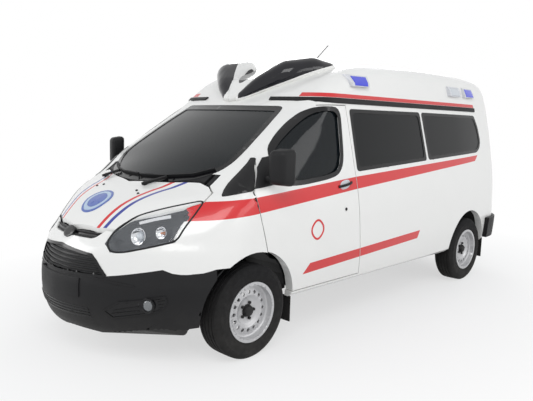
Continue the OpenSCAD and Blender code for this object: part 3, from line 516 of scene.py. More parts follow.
tint_glass = finish("tint_glass", (0.003, 0.004, 0.005), 0.03, vary=0.1, alpha=0.94, ior=1.32)
# Cab glass: its near-black, mostly opaque colour is painted shade and painted dark reflection of the cab behind it, not
# a tint of the glass.
cab_glass_painted_shade = finish("cab_glass_painted_shade", (0.006, 0.009, 0.011), 0.03, vary=0.1, alpha=0.87, ior=1.32)
lens_clear = finish("lens_clear", (0.80, 0.84, 0.88), 0.03, coat=0.5, vary=0.02, alpha=0.07)
lens_blue = finish("lens_blue", (0.006, 0.025, 0.62), 0.08, coat=0.7, vary=0.15, scale=40, emit=0.12)
lens_white = finish("lens_white", (0.62, 0.66, 0.70), 0.10, coat=0.7, vary=0.15, scale=40)
lens_amber = finish("lens_amber", (0.60, 0.16, 0.01), 0.08, coat=0.7, vary=0.2, scale=40)
chrome = finish("chrome", (0.75, 0.76, 0.78), 0.08, metal=1.0, vary=0.05)
print("finishes:", len(bpy.data.materials))

# %% [markdown]
# ## Floor and light
# A pale floor and a white background keep the colours honest. Large soft lamps give long highlights,
# which show a smooth panel far better than small hard ones.

# %% Floor, lamps and background
def seen_rays(tree):
    """1 for rays that show the background itself: straight, in a reflection or through glass."""
    ray = add(tree, "LightPath").outputs
    both = maths(tree, "MAXIMUM", ray["Is Camera Ray"], ray["Is Glossy Ray"])
    return maths(tree, "MAXIMUM", both, ray["Is Transmission Ray"])

bpy.ops.mesh.primitive_plane_add(size=90, location=(0, 0, 0))
ground = bpy.context.object
ground.name = "ground"
paint = finish("ground_paint", (0.82, 0.82, 0.82), 0.85, vary=0.02, scale=0.6)
tree = paint.node_tree
place = add(tree, "TexCoord").outputs["Object"]
away = add(tree, "VectorMath", {0: place, 1: (0.55, 0.36, 0)}, operation="MULTIPLY").outputs[0]
away = add(tree, "VectorMath", {0: away}, operation="LENGTH").outputs["Value"]
fade = add(tree, "MapRange", {"Value": away, "From Min": 0.7, "From Max": 1.8, "To Min": 0.62, "To Max": 1.0}).outputs[0]
share = maths(tree, "MULTIPLY", fade, seen_rays(tree))
glow = add(tree, "Emission", {"Color": (1, 1, 1, 1), "Strength": 1.0})
mix = add(tree, "MixShader", {0: share, 1: tree.nodes["Principled BSDF"].outputs[0], 2: glow.outputs[0]})
tree.links.new(mix.outputs[0], tree.nodes["Material Output"].inputs["Surface"])
ground.data.materials.append(paint)

def soft_lamp(name, place, target, size, watts):
    lamp = bpy.data.lights.new(name, "AREA")
    lamp.shape, lamp.size, lamp.size_y, lamp.energy = "RECTANGLE", size[0], size[1], watts
    obj = bpy.data.objects.new(name, lamp)
    obj.location = place
    obj.rotation_euler = (Vector(target) - Vector(place)).to_track_quat("-Z", "Y").to_euler()
    scene.collection.objects.link(obj)

soft_lamp("key", (5.5, -5.5, 6.5), (0, 0, 1.0), (6, 4), 330)
soft_lamp("side", (8.0, 2.5, 3.5), (0, 0.5, 1.0), (7, 3), 170)
soft_lamp("front", (-4.5, -7.5, 3.5), (0, -1.5, 0.8), (5, 3), 170)
soft_lamp("rear", (-5.0, 7.0, 5.0), (0, 1.0, 1.2), (6, 4), 300)

world = bpy.data.worlds.new("studio")
scene.world = world
world.use_nodes = True
sky = world.node_tree
dim = add(sky, "Background", {"Color": (0.90, 0.94, 1.0, 1), "Strength": 0.42})
white = add(sky, "Background", {"Color": (1, 1, 1, 1), "Strength": 1.0})
blend = add(sky, "MixShader", {0: seen_rays(sky), 1: dim.outputs[0], 2: white.outputs[0]})
sky.links.new(blend.outputs[0], next(n for n in sky.nodes if n.type == "OUTPUT_WORLD").inputs["Surface"])
scene.view_settings.view_transform = "Standard"

# %% [markdown]
# ## The painted body
# Doors, wings, roof and bonnet are pressed steel with white paint and film stripes;
# bumpers and cowl are moulded black plastic. They could be shaped one by one,
# but the panel maker gives all of them the same skin, so the stripes run on over the gaps.
# The rear doors open nearly flat against the sides, so their hinge edges are drawn in to leave room for that turn.

# %% Body panels
def dress(obj, mat):
    obj.data.materials.clear()
    obj.data.materials.append(mat)
    return obj

CLEAR, BESIDE = 0.006, 0.15
HINGE, HINGE_WAY, OPEN = (0.699, 2.1818, 3.0007), (0.0, 0.1605, -0.9870), math.radians(165)

def rolled_in(obj, sign):
    """The hinge edge of a rear door, drawn in where the open door would meet the body beside it."""
    foot = np.array(HINGE) * (sign, 1, 1)
    turn = np.array(Matrix.Rotation(sign * OPEN, 3, Vector(HINGE_WAY)))
    p = np.array([v.co for v in obj.data.vertices])
    opened = (p - foot) @ turn.T + foot
    low = depth(opened)
    near = np.linalg.norm(np.cross(p - foot, HINGE_WAY), axis=1) < BESIDE
    hit = np.flatnonzero(near & (low > -CLEAR) & (low < 0.03))
    opened[hit] += outward(opened[hit]) * (low[hit] + CLEAR)[:, None]
    for i in hit:
        obj.data.vertices[i].co = (opened[i] - foot) @ turn + foot
    print("rolled in:", obj.name, len(hit))

for name in ("side_panel_left", "side_panel_right", "roof", "wing_left", "wing_right", "front_door_left",
             "front_door_right", "sliding_door", "rear_door_left", "rear_door_right"):
    reach, turn = (0.15, 0.9) if name == "roof" else (0.055, 0.6)
    skin_panel = dress(panel(name, reach=reach, turn=turn), body_paint)
    if name.startswith("rear_door"):
        rolled_in(skin_panel, 1 if name.endswith("left") else -1)
dress(panel("bonnet", longest=0.03), bonnet_paint)
dress(panel("nose_panel", longest=0.03), plain_paint)
dress(panel("front_bumper", longest=0.03), black_plastic)
dress(panel("rear_bumper", inset=-0.05), black_plastic)
dress(panel("cowl"), black_plastic)

# %% [markdown]
# ## Glass
# On the van each pane is bent glass, bonded a few millimetres below the paint, and dark privacy glass behind the cab.
# The near-black colour of the windscreen and door panes is painted shade and painted dark reflection, standing in for
# the shaded cab behind them.
# A solid block would look like a lens, so only the outside is kept and given the thickness of a sheet.

# %% Panes
dress(panel("windscreen", 0.003, sheet=0.005), cab_glass_painted_shade)
for side in ("left", "right"):
    dress(panel("door_glass_" + side, 0.018, sheet=0.004), cab_glass_painted_shade)
    dress(panel("rear_glass_" + side, 0.003, sheet=0.004), tint_glass)
dress(panel("side_glass", 0.003, sheet=0.004), tint_glass)

# %% [markdown]
# ## Makers for fittings
# Three kinds of fitting come back again and again. A patch is a thin moulding that lies on the skin inside an outline.
# A rail is a small section swept along a path, such as a seal or a slat. Everything else starts as a simple solid
# that is then cut, inset and rounded until it has the form of the real thing.

# %% Patch and rail
SEEN = {"left": (0, 1.15, 0.2), "right": (0, -1.15, -0.2), "front": (1, -2.95, -0.4), "back": (1, 2.95, 1.5),
        "top": (2, 2.6, 0.6)}
def onto(points, seen, out=0.0):
    """Flat points, as two coordinates seen from one side, carried along the view onto the skin."""
    axis, far, near = SEEN[seen]
    p = np.insert(np.asarray(points, float), axis, far, axis=1)
    low, high = np.full(len(p), far), np.full(len(p), near)
    for _ in range(32):
        p[:, axis] = (low + high) / 2
        inside_now = depth(p) > -out
        high = np.where(inside_now, p[:, axis], high)
        low = np.where(inside_now, low, p[:, axis])
    return p

def done(obj, name, mat, body="body", angle=35):
    """Gives a finished piece its name, finish and body, with its place moved into the mesh."""
    only(obj)
    bpy.ops.object.transform_apply(location=True, rotation=True, scale=True)
    bpy.ops.object.shade_smooth_by_angle(angle=math.radians(angle))
    obj.name = obj.data.name = name
    dress(obj, mat)
    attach(obj, body)
    return obj

def patch(name, loops, seen, mat, body="body", out=0.002, thick=0.004, longest=0.03, edge=0.0):
    """A thin moulding on the skin. The first loop is its outline, the others are openings."""
    axis = SEEN[seen][0]
    bm = bmesh.new()
    for loop in loops:
        verts = [bm.verts.new(np.insert(np.array(q, float), axis, 0.0)) for q in loop]
        for a, b in zip(verts, verts[1:] + verts[:1]):
            bm.edges.new((a, b))
    bmesh.ops.triangle_fill(bm, use_beauty=True, edges=bm.edges[:])
    layer = all_skin(bm)
    refine(bm, layer, longest)
    flat = np.delete(np.array([v.co for v in bm.verts]), axis, axis=1)
    for v, q in zip(bm.verts, onto(flat, seen, out)):
        v.co = q
    bm.normal_update()
    mid = bm.faces[:][0].calc_center_median()
    bmesh.ops.recalc_face_normals(bm, faces=bm.faces)
    bm.normal_update()
    if np.dot(np.array([f.normal for f in bm.faces]).mean(0), outward([mid])[0]) < 0:
        bmesh.ops.reverse_faces(bm, faces=bm.faces)
    bm.faces.layers.int.remove(layer)
    obj = to_object(bm, name)
    apply(obj, "SOLIDIFY", thickness=thick, offset=-1)
    if edge:
        apply(obj, "BEVEL", width=edge, segments=2, limit_method="ANGLE", angle_limit=1.0)
    return done(obj, name, mat, body)

def rail(name, path, section, mat, body="body", closed=False):
    """A section of (across, out) points swept along a path on the skin."""
    path = np.asarray(path, float)
    n = outward(path)
    along = np.gradient(path, axis=0) if not closed else np.roll(path, -1, 0) - np.roll(path, 1, 0)
    side = np.cross(along, n)
    side /= np.linalg.norm(side, axis=1, keepdims=True)
    m, k = len(path), len(section)
    verts = [tuple(path[i] + side[i] * a + n[i] * b) for i in range(m) for a, b in section]
    last = m if closed else m - 1
    faces = [(i * k + j, i * k + (j + 1) % k, (i + 1) % m * k + (j + 1) % k, (i + 1) % m * k + j)
             for i in range(last) for j in range(k)]
    if not closed:
        faces += [tuple(range(k))[::-1], tuple((m - 1) * k + j for j in range(k))]
    mesh = bpy.data.meshes.new(name)
    mesh.from_pydata(verts, [], faces)
    obj = new_object(name, mesh)
    edited(obj, FACE_OUT)
    return done(obj, name, mat, body)

def strip(half, high, base=-0.002):
    """Section of a low strip with rounded shoulders."""
    return [(-half, base), (half, base), (half, high * 0.6), (half * 0.8, high), (-half * 0.8, high), (-half, high * 0.6)]

def fill_path(points, step=0.03):
    """Points set closely along a line through the given ones."""
    p = np.asarray(points, float)
    out = [p[0]]
    for a, b in zip(p, p[1:]):
        k = max(1, int(np.ceil(np.linalg.norm(b - a) / step)))
        out += [a + (b - a) * i / k for i in range(1, k + 1)]
    return np.array(out)

def curved(points, rounds=3, closed=False):
    """Corners cut again and again until the line is smooth."""
    p = [np.asarray(q, float) for q in points]
    for _ in range(rounds):
        pairs = list(zip(p, p[1:] + p[:1])) if closed else list(zip(p, p[1:]))
        new = [] if closed else [p[0]]
        for a, b in pairs:
            new += [a * 0.75 + b * 0.25, a * 0.25 + b * 0.75]
        p = new if closed else new + [p[-1]]
    return np.array(p)

def grown(loop, by):
    """An outline moved out by a distance."""
    p = np.asarray(loop, float)
    a, b = p - np.roll(p, 1, 0), np.roll(p, -1, 0) - p
    na = np.stack([a[:, 1], -a[:, 0]], 1) / np.maximum(np.linalg.norm(a, axis=1, keepdims=True), 1e-9)
    nb = np.stack([b[:, 1], -b[:, 0]], 1) / np.maximum(np.linalg.norm(b, axis=1, keepdims=True), 1e-9)
    area = (p[:, 0] * np.roll(p[:, 1], -1) - np.roll(p[:, 0], -1) * p[:, 1]).sum()
    n = (na + nb) * (1 if area > 0 else -1)
    n /= np.maximum((n * n).sum(1, keepdims=True), 0.3) / 2
    return p + n * by

def flip(points):
    return [(-x, *rest) for x, *rest in points]

def eased(loop, reach, n=5):
    """An outline with each corner rounded, starting at most this far from the corner."""
    p, out = np.asarray(loop, float), []
    for a, b, c in zip(np.roll(p, 1, 0), p, np.roll(p, -1, 0)):
        before, after = a - b, c - b
        la, lc = np.linalg.norm(before), np.linalg.norm(after)
        a, c = b + before * min(reach / la, 0.45), b + after * min(reach / lc, 0.45)
        out += [tuple(a * (1 - u) ** 2 + b * 2 * u * (1 - u) + c * u * u) for u in np.linspace(0, 1, n)]
    return out

SIDES = (("left", 1), ("right", -1))
print("makers ready")

# %% [markdown]
# ## Seals, frames and the gutter
# Rubber and black film frame every pane on the van, and a black strip covers the joint of the raised roof.
# The frames use the same outlines as the panes, moved out a little, so that they always fit.

# %% Frames of the panes
DOOR_WINDOW = behind((1.012, 1.798), (1.010, 1.430), (0.985, 1.350), (0.930, 1.295), (0.800, 1.268), (0.470, 1.240),
                     (0.240, 1.250), (0.222, 1.270), (0.235, 1.455), (0.350, 1.552), (0.530, 1.672), (0.670, 1.750),
                     (0.800, 1.795))
DOOR = behind((1.262, 0.420), (1.112, 1.838), (0.800, 1.832), (0.665, 1.787), (0.527, 1.702), (0.340, 1.580),
              (0.172, 1.450), (0.090, 1.370), (-0.002, 1.195), (0.053, 0.990), (0.122, 0.753), (0.122, 0.420))
PANE_FRONT = behind((1.212, 1.302), (2.352, 1.360), (2.275, 1.800), (1.166, 1.796))
PANE_REAR = behind((2.408, 1.364), (3.480, 1.416), (3.560, 1.460), (3.590, 1.530), (3.545, 1.680), (3.467, 1.798),
                   (2.328, 1.800))
REAR_WINDOW = [(0.06, 1.15), (0.60, 1.15), (0.635, 1.19), (0.60, 1.70), (0.56, 1.74), (0.06, 1.74)]
QUARTER = behind((-0.200, 1.170), (-0.03, 1.204), (-0.005, 1.209), (0.082, 1.370), (0.134, 1.425), (0.112, 1.428),
                 (0.028, 1.362))
SAIL = behind((0.006, 1.222), (0.212, 1.242), (0.224, 1.44), (0.168, 1.428), (0.094, 1.364))
SCREEN = [(0.380, 1.240), (0.560, 1.272), (0.660, 1.330), (0.700, 1.400), (0.690, 1.480), (0.650, 1.640), (0.600, 1.780),
          (0.575, 1.804)]
SCREEN = [(0, 1.226)] + SCREEN + [(0, 1.806)] + flip(SCREEN)[::-1]
FRAME_OUT, FRAME_THICK = 0.002, 0.004

def frame_loops(loop, outer, outer_ease, inner, inner_ease):
    return [eased(grown(loop, outer), outer_ease), eased(grown(loop, -inner), inner_ease)]

for side, sign in SIDES:
    door = "door_front_" + side
    loops = frame_loops(DOOR_WINDOW, 0.022, 0.10, 0.014, 0.08)
    patch("door_window_frame_" + side, loops, side, gloss_black, door, FRAME_OUT, FRAME_THICK)
    for tag, loop in (("front", PANE_FRONT), ("rear", PANE_REAR)):
        loops = frame_loops(loop, 0.010, 0.035, 0.022, 0.05)
        patch("pane_frame_%s_%s" % (tag, side), loops, side, gloss_black, "body", FRAME_OUT, FRAME_THICK)
    loops = frame_loops(REAR_WINDOW if sign > 0 else flip(REAR_WINDOW), 0.010, 0.04, 0.018, 0.05)
    patch("rear_pane_frame_" + side, loops, "back", gloss_black, "door_rear_" + side, FRAME_OUT, FRAME_THICK)
    path = onto(fill_path(behind((0.70, 1.868), (3.49, 1.868)), 0.06), side, 0.0)
    rail("gutter_strip_" + side, path, strip(0.022, 0.012), black_plastic)
    patch("quarter_pane_" + side, [eased(QUARTER, 0.015, 4)], side, gloss_black, "body", 0.004, 0.006, edge=0.001)
    path = onto(fill_path(grown(DOOR, 0.0035)[:-1], 0.04), side, -0.008)
    rail("door_seal_" + side, path, strip(0.0038, 0.003, -0.004), black_plastic)
    patch("mirror_sail_" + side, [SAIL], side, black_plastic, door, 0.004, 0.006, edge=0.002)
loops = frame_loops(SCREEN, 0.006, 0.05, 0.035, 0.08)
patch("screen_band", loops, "front", gloss_black, "body", FRAME_OUT, FRAME_THICK)

# %% [markdown]
# ## Grilles and front bumper
# The upper slot and the lower grille are moulded plastic with level slats that follow the bow of the nose.
# Boxes would stand off a bowed nose, so each slat is swept along the skin at its height, a little below it.
# The fittings of the bumper are mouldings with an outline, so they are patches with a small bevel.

# %% Grilles
def slat(name, z, half, inset=0.004, thick=0.007, deep=0.016):
    path = onto([(x, z) for x in np.linspace(-half, half, 25)], "front", -inset)
    section = [(-thick, -deep), (thick, -deep), (thick, -0.004), (thick * 0.5, 0), (-thick * 0.5, 0), (-thick, -0.004)]
    return rail(name, path, section, black_plastic)

for i, z in enumerate((0.654, 0.682, 0.710, 0.738, 0.766)):
    slat("grille_slat_%d" % i, z, 0.436 - max(0, z - 0.650) * 1.02 - (0.02 if z > 0.74 else 0))
slat("slot_bar_low", 0.874, 0.262, inset=0.006)
slat("slot_bar_high", 0.898, 0.292, inset=0.006)
LOWER_GRILLE = [(0.430, 0.636), (0.446, 0.650), (0.360, 0.742), (0.318, 0.775)]
LOWER_GRILLE = [(0, 0.628)] + LOWER_GRILLE + [(0, 0.806)] + flip(LOWER_GRILLE)[::-1]
patch("grille_frame", [grown(LOWER_GRILLE, 0.004), grown(LOWER_GRILLE, -0.014)], "front", gloss_black, "body", 0.003, 0.018)

# %% Bumper fittings
intake = [(-0.35, 0.345), (0.35, 0.345), (0.33, 0.418), (-0.33, 0.418)]
patch("lower_intake", [intake], "front", gloss_black, "body", 0.001, 0.003)
for i, z in enumerate((0.358, 0.380, 0.402)):
    slat("intake_slat_%d" % i, z, 0.338, inset=-0.006, thick=0.005, deep=0.010)
plate = [(-0.27, 0.482), (0.27, 0.482), (0.27, 0.612), (-0.27, 0.612)]
patch("plate_zone", [plate], "front", black_plastic, "body", 0.006, 0.008, edge=0.002)
rib = [(-0.62, 0.588), (-0.30, 0.628), (0.30, 0.628), (0.62, 0.588), (0.62, 0.600), (0.30, 0.640), (-0.30, 0.640),
       (-0.62, 0.600)]
patch("bumper_rib", [rib], "front", black_plastic, "body", 0.004, 0.006, edge=0.002)
fog = [(0.455, 0.409), (0.541, 0.476), (0.631, 0.490), (0.770, 0.526), (0.776, 0.500), (0.762, 0.450), (0.694, 0.418),
       (0.496, 0.371)]
FOG_RIBS = ((0.490, 0.645, 0.395, 0.430), (0.505, 0.645, 0.420, 0.458), (0.742, 0.765, 0.452, 0.458),
            (0.740, 0.770, 0.474, 0.482), (0.738, 0.772, 0.496, 0.506))
for side, sign in SIDES:
    loop = fog if sign > 0 else flip(fog)
    patch("fog_recess_" + side, [loop], "front", gloss_black, "body", 0.001, 0.003)
    loops = [grown(loop, 0.010), grown(loop, 0.0)]
    patch("fog_surround_" + side, loops, "front", black_plastic, "body", 0.006, 0.008, edge=0.002)
    for i, (x0, x1, z0, z1) in enumerate(FOG_RIBS):
        path = onto([(sign * x, z) for x, z in fill_path([(x0, z0), (x1, z1)], 0.03)], "front", 0.001)
        rail("fog_rib_%s_%d" % (side, i), path, strip(0.005, 0.006), black_plastic)

# %% [markdown]
# ## Turned parts
# Lamp bowls, hub caps and tyres are round about one axis. On the van they are spun, pressed or moulded in round tools.
# They could be cylinders with bevels, but a half outline spun round its axis gives every step and lip in one go.

# %% Lathe and smooth copies
def lathe(name, outline, place, facing, mat, body="body", steps=40, angle=30):
    """An outline of (radius, height) points spun about an axis that points along facing."""
    mesh = bpy.data.meshes.new(name)
    mesh.from_pydata([(r, 0, h) for r, h in outline], [(i, i + 1) for i in range(len(outline) - 1)], [])
    obj = new_object(name, mesh)
    spin = {"steps": steps, "angle": 2 * math.pi, "center": (0, 0, 0), "axis": (0, 0, 1)}
    edited(obj, (bpy.ops.mesh.spin, spin), JOIN, FACE_OUT)
    turn = Vector(facing).to_track_quat("Z", "Y").to_matrix().to_4x4()
    obj.data.transform(Matrix.Translation(Vector(place)) @ turn)
    return done(obj, name, mat, body, angle)

def smooth_copy(node, mat, edge=0.0, angle=35, flat=True):
    """A copy of a solid with its points joined, its edges eased and its round faces shaded smoothly."""
    obj = new_object(node + "_form", nodes[node].data.copy())
    edited(obj, JOIN, *([(bpy.ops.mesh.dissolve_limited, {"angle_limit": 0.01})] if flat else []))
    if edge:
        apply(obj, "BEVEL", width=edge, segments=3, limit_method="ANGLE", angle_limit=0.6)
    done(obj, obj.name, mat, nodes[node]["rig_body"], angle)
    apply(obj, "WEIGHTED_NORMAL", keep_sharp=True)
    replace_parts(obj, node)
    return obj

CIRCLE_STEPS = 40
def circle(cx, cy, rx, ry=None):
    turns = [2 * math.pi * i / CIRCLE_STEPS for i in range(CIRCLE_STEPS)]
    return [(cx + rx * math.cos(a), cy + (ry or rx) * math.sin(a)) for a in turns]

def at(x, s, z):
    """A place given by its distance behind the front axle."""
    return Vector((x, s + AXLE, z))
print("turning tools ready")

# %% [markdown]
# ## Headlamps
# Behind its clear lens each headlamp has a black tray, a round bowl with a projector, a smaller bowl
# and a bright facet strip.
# The lens could be solid glass, but a thin sheet lets the light reach the bowls as it does on the van.

# %% Headlamps
tray_black = finish("tray_black", (0.010, 0.010, 0.012), 0.35, vary=0.2, scale=20, shine=0.3)
dress(panel("headlamps", sheet=0.003, longest=0.03, name="headlamp_lens"), lens_clear)
bm = bmesh.new()
bm.from_mesh(nodes["headlamps"].data)
bmesh.ops.remove_doubles(bm, verts=bm.verts, dist=1e-5)
bm.normal_update()
front = [f for f, a, d in lie_of(bm) if a > 0.5 and d < 0.055]
bmesh.ops.delete(bm, geom=front, context="FACES")
tray = to_object(bm, "headlamp_tray")
apply(tray, "SOLIDIFY", thickness=0.002, offset=-1)
done(tray, "headlamp_tray", tray_black)
bowl = [(0.014, -0.026), (0.030, -0.022), (0.044, -0.010), (0.052, 0.004), (0.057, 0.006), (0.060, 0.002), (0.058, -0.010),
        (0.046, -0.026), (0.020, -0.036), (0.0, -0.036)]
eye = [(0.0, 0.004), (0.012, 0.001), (0.022, -0.006), (0.026, -0.016), (0.024, -0.026), (0.0, -0.030)]
small = [(q[0] * 0.72, q[1] * 0.72) for q in bowl]
bulb = [(0.0, 0.000), (0.006, -0.002), (0.008, -0.010), (0.008, -0.026), (0.0, -0.028)]
FACETS = ((0.50, -0.640, 1.000), (0.58, -0.567, 1.030), (0.660, -0.497, 1.055))
FACET_SECTION = [(-0.016, -0.012), (0.016, -0.012), (0.016, -0.004), (0.004, 0.002), (-0.004, 0.002), (-0.016, -0.004)]
LAMP_EDGE = ((0.376, -0.800, 0.846), (0.434, -0.812, 0.797), (0.519, -0.761, 0.804), (0.640, -0.650, 0.842),
             (0.758, -0.514, 0.885), (0.770, -0.463, 0.971), (0.788, -0.388, 1.066), (0.775, -0.293, 1.158),
             (0.577, -0.519, 1.085), (0.464, -0.628, 1.029), (0.384, -0.745, 0.930))
for side, sign in SIDES:
    facing = (sign * 0.30, -0.93, 0.20)
    first = to_skin([at(sign * 0.545, -0.690, 0.925)], 0.040)[0]
    second = to_skin([at(sign * 0.655, -0.575, 0.945)], 0.042)[0]
    lathe("lamp_bowl_" + side, bowl, first, facing, chrome)
    lathe("lamp_projector_" + side, eye, first, facing, lens_white)
    lathe("lamp_small_bowl_" + side, small, second, facing, chrome)
    lathe("lamp_bulb_" + side, bulb, second, facing, lens_amber)
    strip_path = to_skin(fill_path([at(sign * x, s, z) for x, s, z in FACETS], 0.012), 0.020)
    rail("lamp_facets_" + side, strip_path, FACET_SECTION, chrome)
    edge_path = eased([at(sign * x, s, z) for x, s, z in LAMP_EDGE], 0.05)
    edge_path = to_skin(fill_path(edge_path + edge_path[:1], 0.03), 0.001)[:-1]
    rail("lamp_gasket_" + side, edge_path, strip(0.006, 0.002, -0.010), black_plastic, closed=True)
    tip = to_skin(fill_path([at(sign * 0.715, -0.440, 1.070), at(sign * 0.768, -0.315, 1.140)], 0.012), 0.012)
    rail("lamp_tip_" + side, tip, [(-0.022, -0.010), (0.022, -0.010), (0.018, 0.0), (-0.018, 0.0)], dark_metal)

# %% [markdown]
# ## Beacon pod
# The pod over the screen is moulded in one piece with two side lobes, and dark smoked lenses cover the lamps in it.
# Its form is drawn over a few balls, as a stretched skin would lie on them,
# and the part under the roof is laid on the roof.
# The lenses are cut out of the same form, so that they run flush with the rim.

# %% Pod and lenses
smoked = finish("smoked_lens", (0.006, 0.006, 0.010), 0.10, coat=0.25, vary=0.3, scale=12, shine=0.35)
RINGS = 14
def drawn_over(forms):
    """The tightest skin over balls given as x, distance behind the axle, height and radius."""
    bm = bmesh.new()
    for x, s, z, r in forms:
        for i in range(RINGS + 1):
            a = math.pi * i / RINGS
            for j in range(1 if i in (0, RINGS) else 2 * RINGS):
                b = math.pi * j / RINGS
                way = Vector((math.sin(a) * math.cos(b), math.sin(a) * math.sin(b), math.cos(a)))
                bm.verts.new(at(x, s, z) + way * r)
    bmesh.ops.convex_hull(bm, input=bm.verts[:])
    bmesh.ops.delete(bm, geom=[v for v in bm.verts if not v.link_faces], context="VERTS")
    layer = all_skin(bm)
    refine(bm, layer, 0.035)
    for _ in range(4):
        bmesh.ops.smooth_vert(bm, verts=bm.verts, factor=0.5, use_axis_x=True, use_axis_y=True, use_axis_z=True)
    bm.faces.layers.int.remove(layer)
    bmesh.ops.recalc_face_normals(bm, faces=bm.faces)
    return to_object(bm, "form")

def prism(loop, low, high):
    """A solid between two heights with an outline seen from above."""
    mesh = bpy.data.meshes.new("prism")
    n = len(loop)
    walls = [(i, (i + 1) % n, (i + 1) % n + n, i + n) for i in range(n)]
    mesh.from_pydata([(x, y, z) for z in (low, high) for x, y in loop], [],
                     [tuple(range(n))[::-1], tuple(range(n, 2 * n))] + walls)
    obj = new_object("prism", mesh)
    edited(obj, FACE_OUT)
    return obj

def cut(obj, tool, way):
    apply(obj, "BOOLEAN", operation=way, object=tool, solver="EXACT")

def drop(*objs):
    for obj in objs:
        bpy.data.objects.remove(obj)

LOBE = [(0.075, 0.655, 1.872, 0.036), (0.215, 0.770, 1.985, 0.080), (0.370, 0.930, 2.090, 0.112),
        (0.475, 1.130, 2.142, 0.098), (0.525, 1.325, 2.160, 0.046), (0.330, 1.150, 2.150, 0.092)]
MIDDLE = [(0.0, 0.640, 1.868, 0.036), (0.130, 0.800, 1.975, 0.070), (0.200, 1.200, 2.110, 0.070)]
SIDE_LENS = behind((0.610, 0.060), (0.640, 0.200), (0.700, 0.340), (0.800, 0.480), (0.930, 0.580), (1.080, 0.650),
                   (1.290, 0.660), (1.318, 0.585), (1.290, 0.500), (1.150, 0.410), (1.010, 0.325), (0.880, 0.230),
                   (0.760, 0.125))
LENS_RIM = [(0.600, 1.860), (0.660, 1.886), (0.735, 1.944), (0.886, 2.038), (1.020, 2.100), (1.144, 2.144),
            (1.320, 2.186)]
SIDE_LENS = [(x, y) for y, x in curved(SIDE_LENS, 2, True)]
half_lens = behind((0.715, 0.0), (0.785, 0.070), (0.890, 0.150), (1.010, 0.215), (1.110, 0.240), (1.140, 0.220))
half_lens = [(x, y) for y, x in half_lens]
MIDDLE_LENS = [tuple(q) for q in curved(half_lens + flip(half_lens[1:])[::-1], 2, True)]
pod = drawn_over(MIDDLE + flip(MIDDLE))
for forms in (LOBE, flip(LOBE)):
    lobe = drawn_over(forms)
    cut(pod, lobe, "UNION")
    drop(lobe)
lens = new_object("lens", pod.data.copy())
tools = [prism(loop, 1.6, 2.5) for loop in (SIDE_LENS, flip(SIDE_LENS), MIDDLE_LENS)]
for tool in tools[1:]:
    cut(tools[0], tool, "UNION")
rim = [tuple(q) for q in behind(*curved(LENS_RIM, 2))] + behind((1.320, 2.6), (0.600, 2.6))
over = prism([(0, y) for y, z in rim], -1.2, 1.2)
for i, v in enumerate(over.data.vertices):
    y, z = rim[i % len(rim)]
    v.co = (-1.2 if i < len(rim) else 1.2, y, z)
over.data.flip_normals()
cut(tools[0], over, "INTERSECT")
cut(pod, tools[0], "DIFFERENCE")
cut(lens, tools[0], "INTERSECT")
drop(over, *tools)
for obj in (pod, lens):
    p = np.array([v.co for v in obj.data.vertices])
    low = depth(p) > 0.003
    p[low] = to_skin(p[low], 0.003)
    for v, q in zip(obj.data.vertices, p):
        v.co = q
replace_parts(done(pod, "pod_form", plain_paint, angle=40), "beacon_pod")
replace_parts(done(lens, "pod_lenses", smoked, angle=40), "beacon_lenses")
print("pod faces:", len(pod.data.polygons), "lens faces:", len(lens.data.polygons))

# %% [markdown]
# ## Wheels
# A tyre is moulded in a ring of steel segments, which leave ribs, grooves and notches in the tread.
# Its half outline holds the bead, the sidewall rings and the grooves; after spinning, every third face of the shoulder
# is pressed in for the notches. One tyre is made and copied. The wheel gets black nuts and a black cap over the spindle.

# %% Tyres, nuts and caps
CORNERS = ("front_left", "front_right", "rear_left", "rear_right")
low, high = (Vector(v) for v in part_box("tyre_front_left"))
hub, wide, far_r = (low + high) / 2, high.x - low.x, (high.z - low.z) / 2
bead = far_r - 0.139
side_half = [(bead, 0.40), (bead + 0.012, 0.43), (bead + 0.018, 0.445), (bead + 0.026, 0.475), (bead + 0.030, 0.470),
             (bead + 0.036, 0.485), (far_r - 0.072, 0.499), (far_r - 0.048, 0.492), (far_r - 0.045, 0.498),
             (far_r - 0.040, 0.490), (far_r - 0.022, 0.455), (far_r - 0.007, 0.395), (far_r - 0.002, 0.36)]
side_half = [(r, h * wide) for r, h in side_half]
tread = []
GROOVE = ((0.001, 0.006), (0.008, 0.004), (0.008, -0.004), (0, -0.006))
for c in (0.235, 0.08):
    tread += [(far_r - deep, c * wide + off) for deep, off in GROOVE]
half_ring = side_half + tread
outline = half_ring + [(r, -h) for r, h in half_ring[::-1]]
outline = outline + [outline[0]]
STEPS, NOTCH_EVERY, NOTCH_DEEP = 72, 3, 0.006
tyre = lathe("tyre_first", outline, hub, (1, 0, 0), tyre_rubber, "wheel_front_left", steps=STEPS, angle=28)
only(tyre)
for f in tyre.data.polygons:
    c = Vector(f.center) - hub
    r, turn = math.hypot(c.y, c.z), math.atan2(c.z, c.y) / (2 * math.pi) * STEPS
    step = int(math.floor(turn + 0.01 + (1 if c.x > 0 else 0)))
    f.select = abs(c.x) > 0.28 * wide and r > far_r - 0.035 and step % NOTCH_EVERY == 0
bpy.ops.object.mode_set(mode="EDIT")
bpy.ops.mesh.select_mode(type="FACE")
bpy.ops.mesh.extrude_region_move()
bpy.ops.transform.shrink_fatten(value=-NOTCH_DEEP)
bpy.ops.object.mode_set(mode="OBJECT")

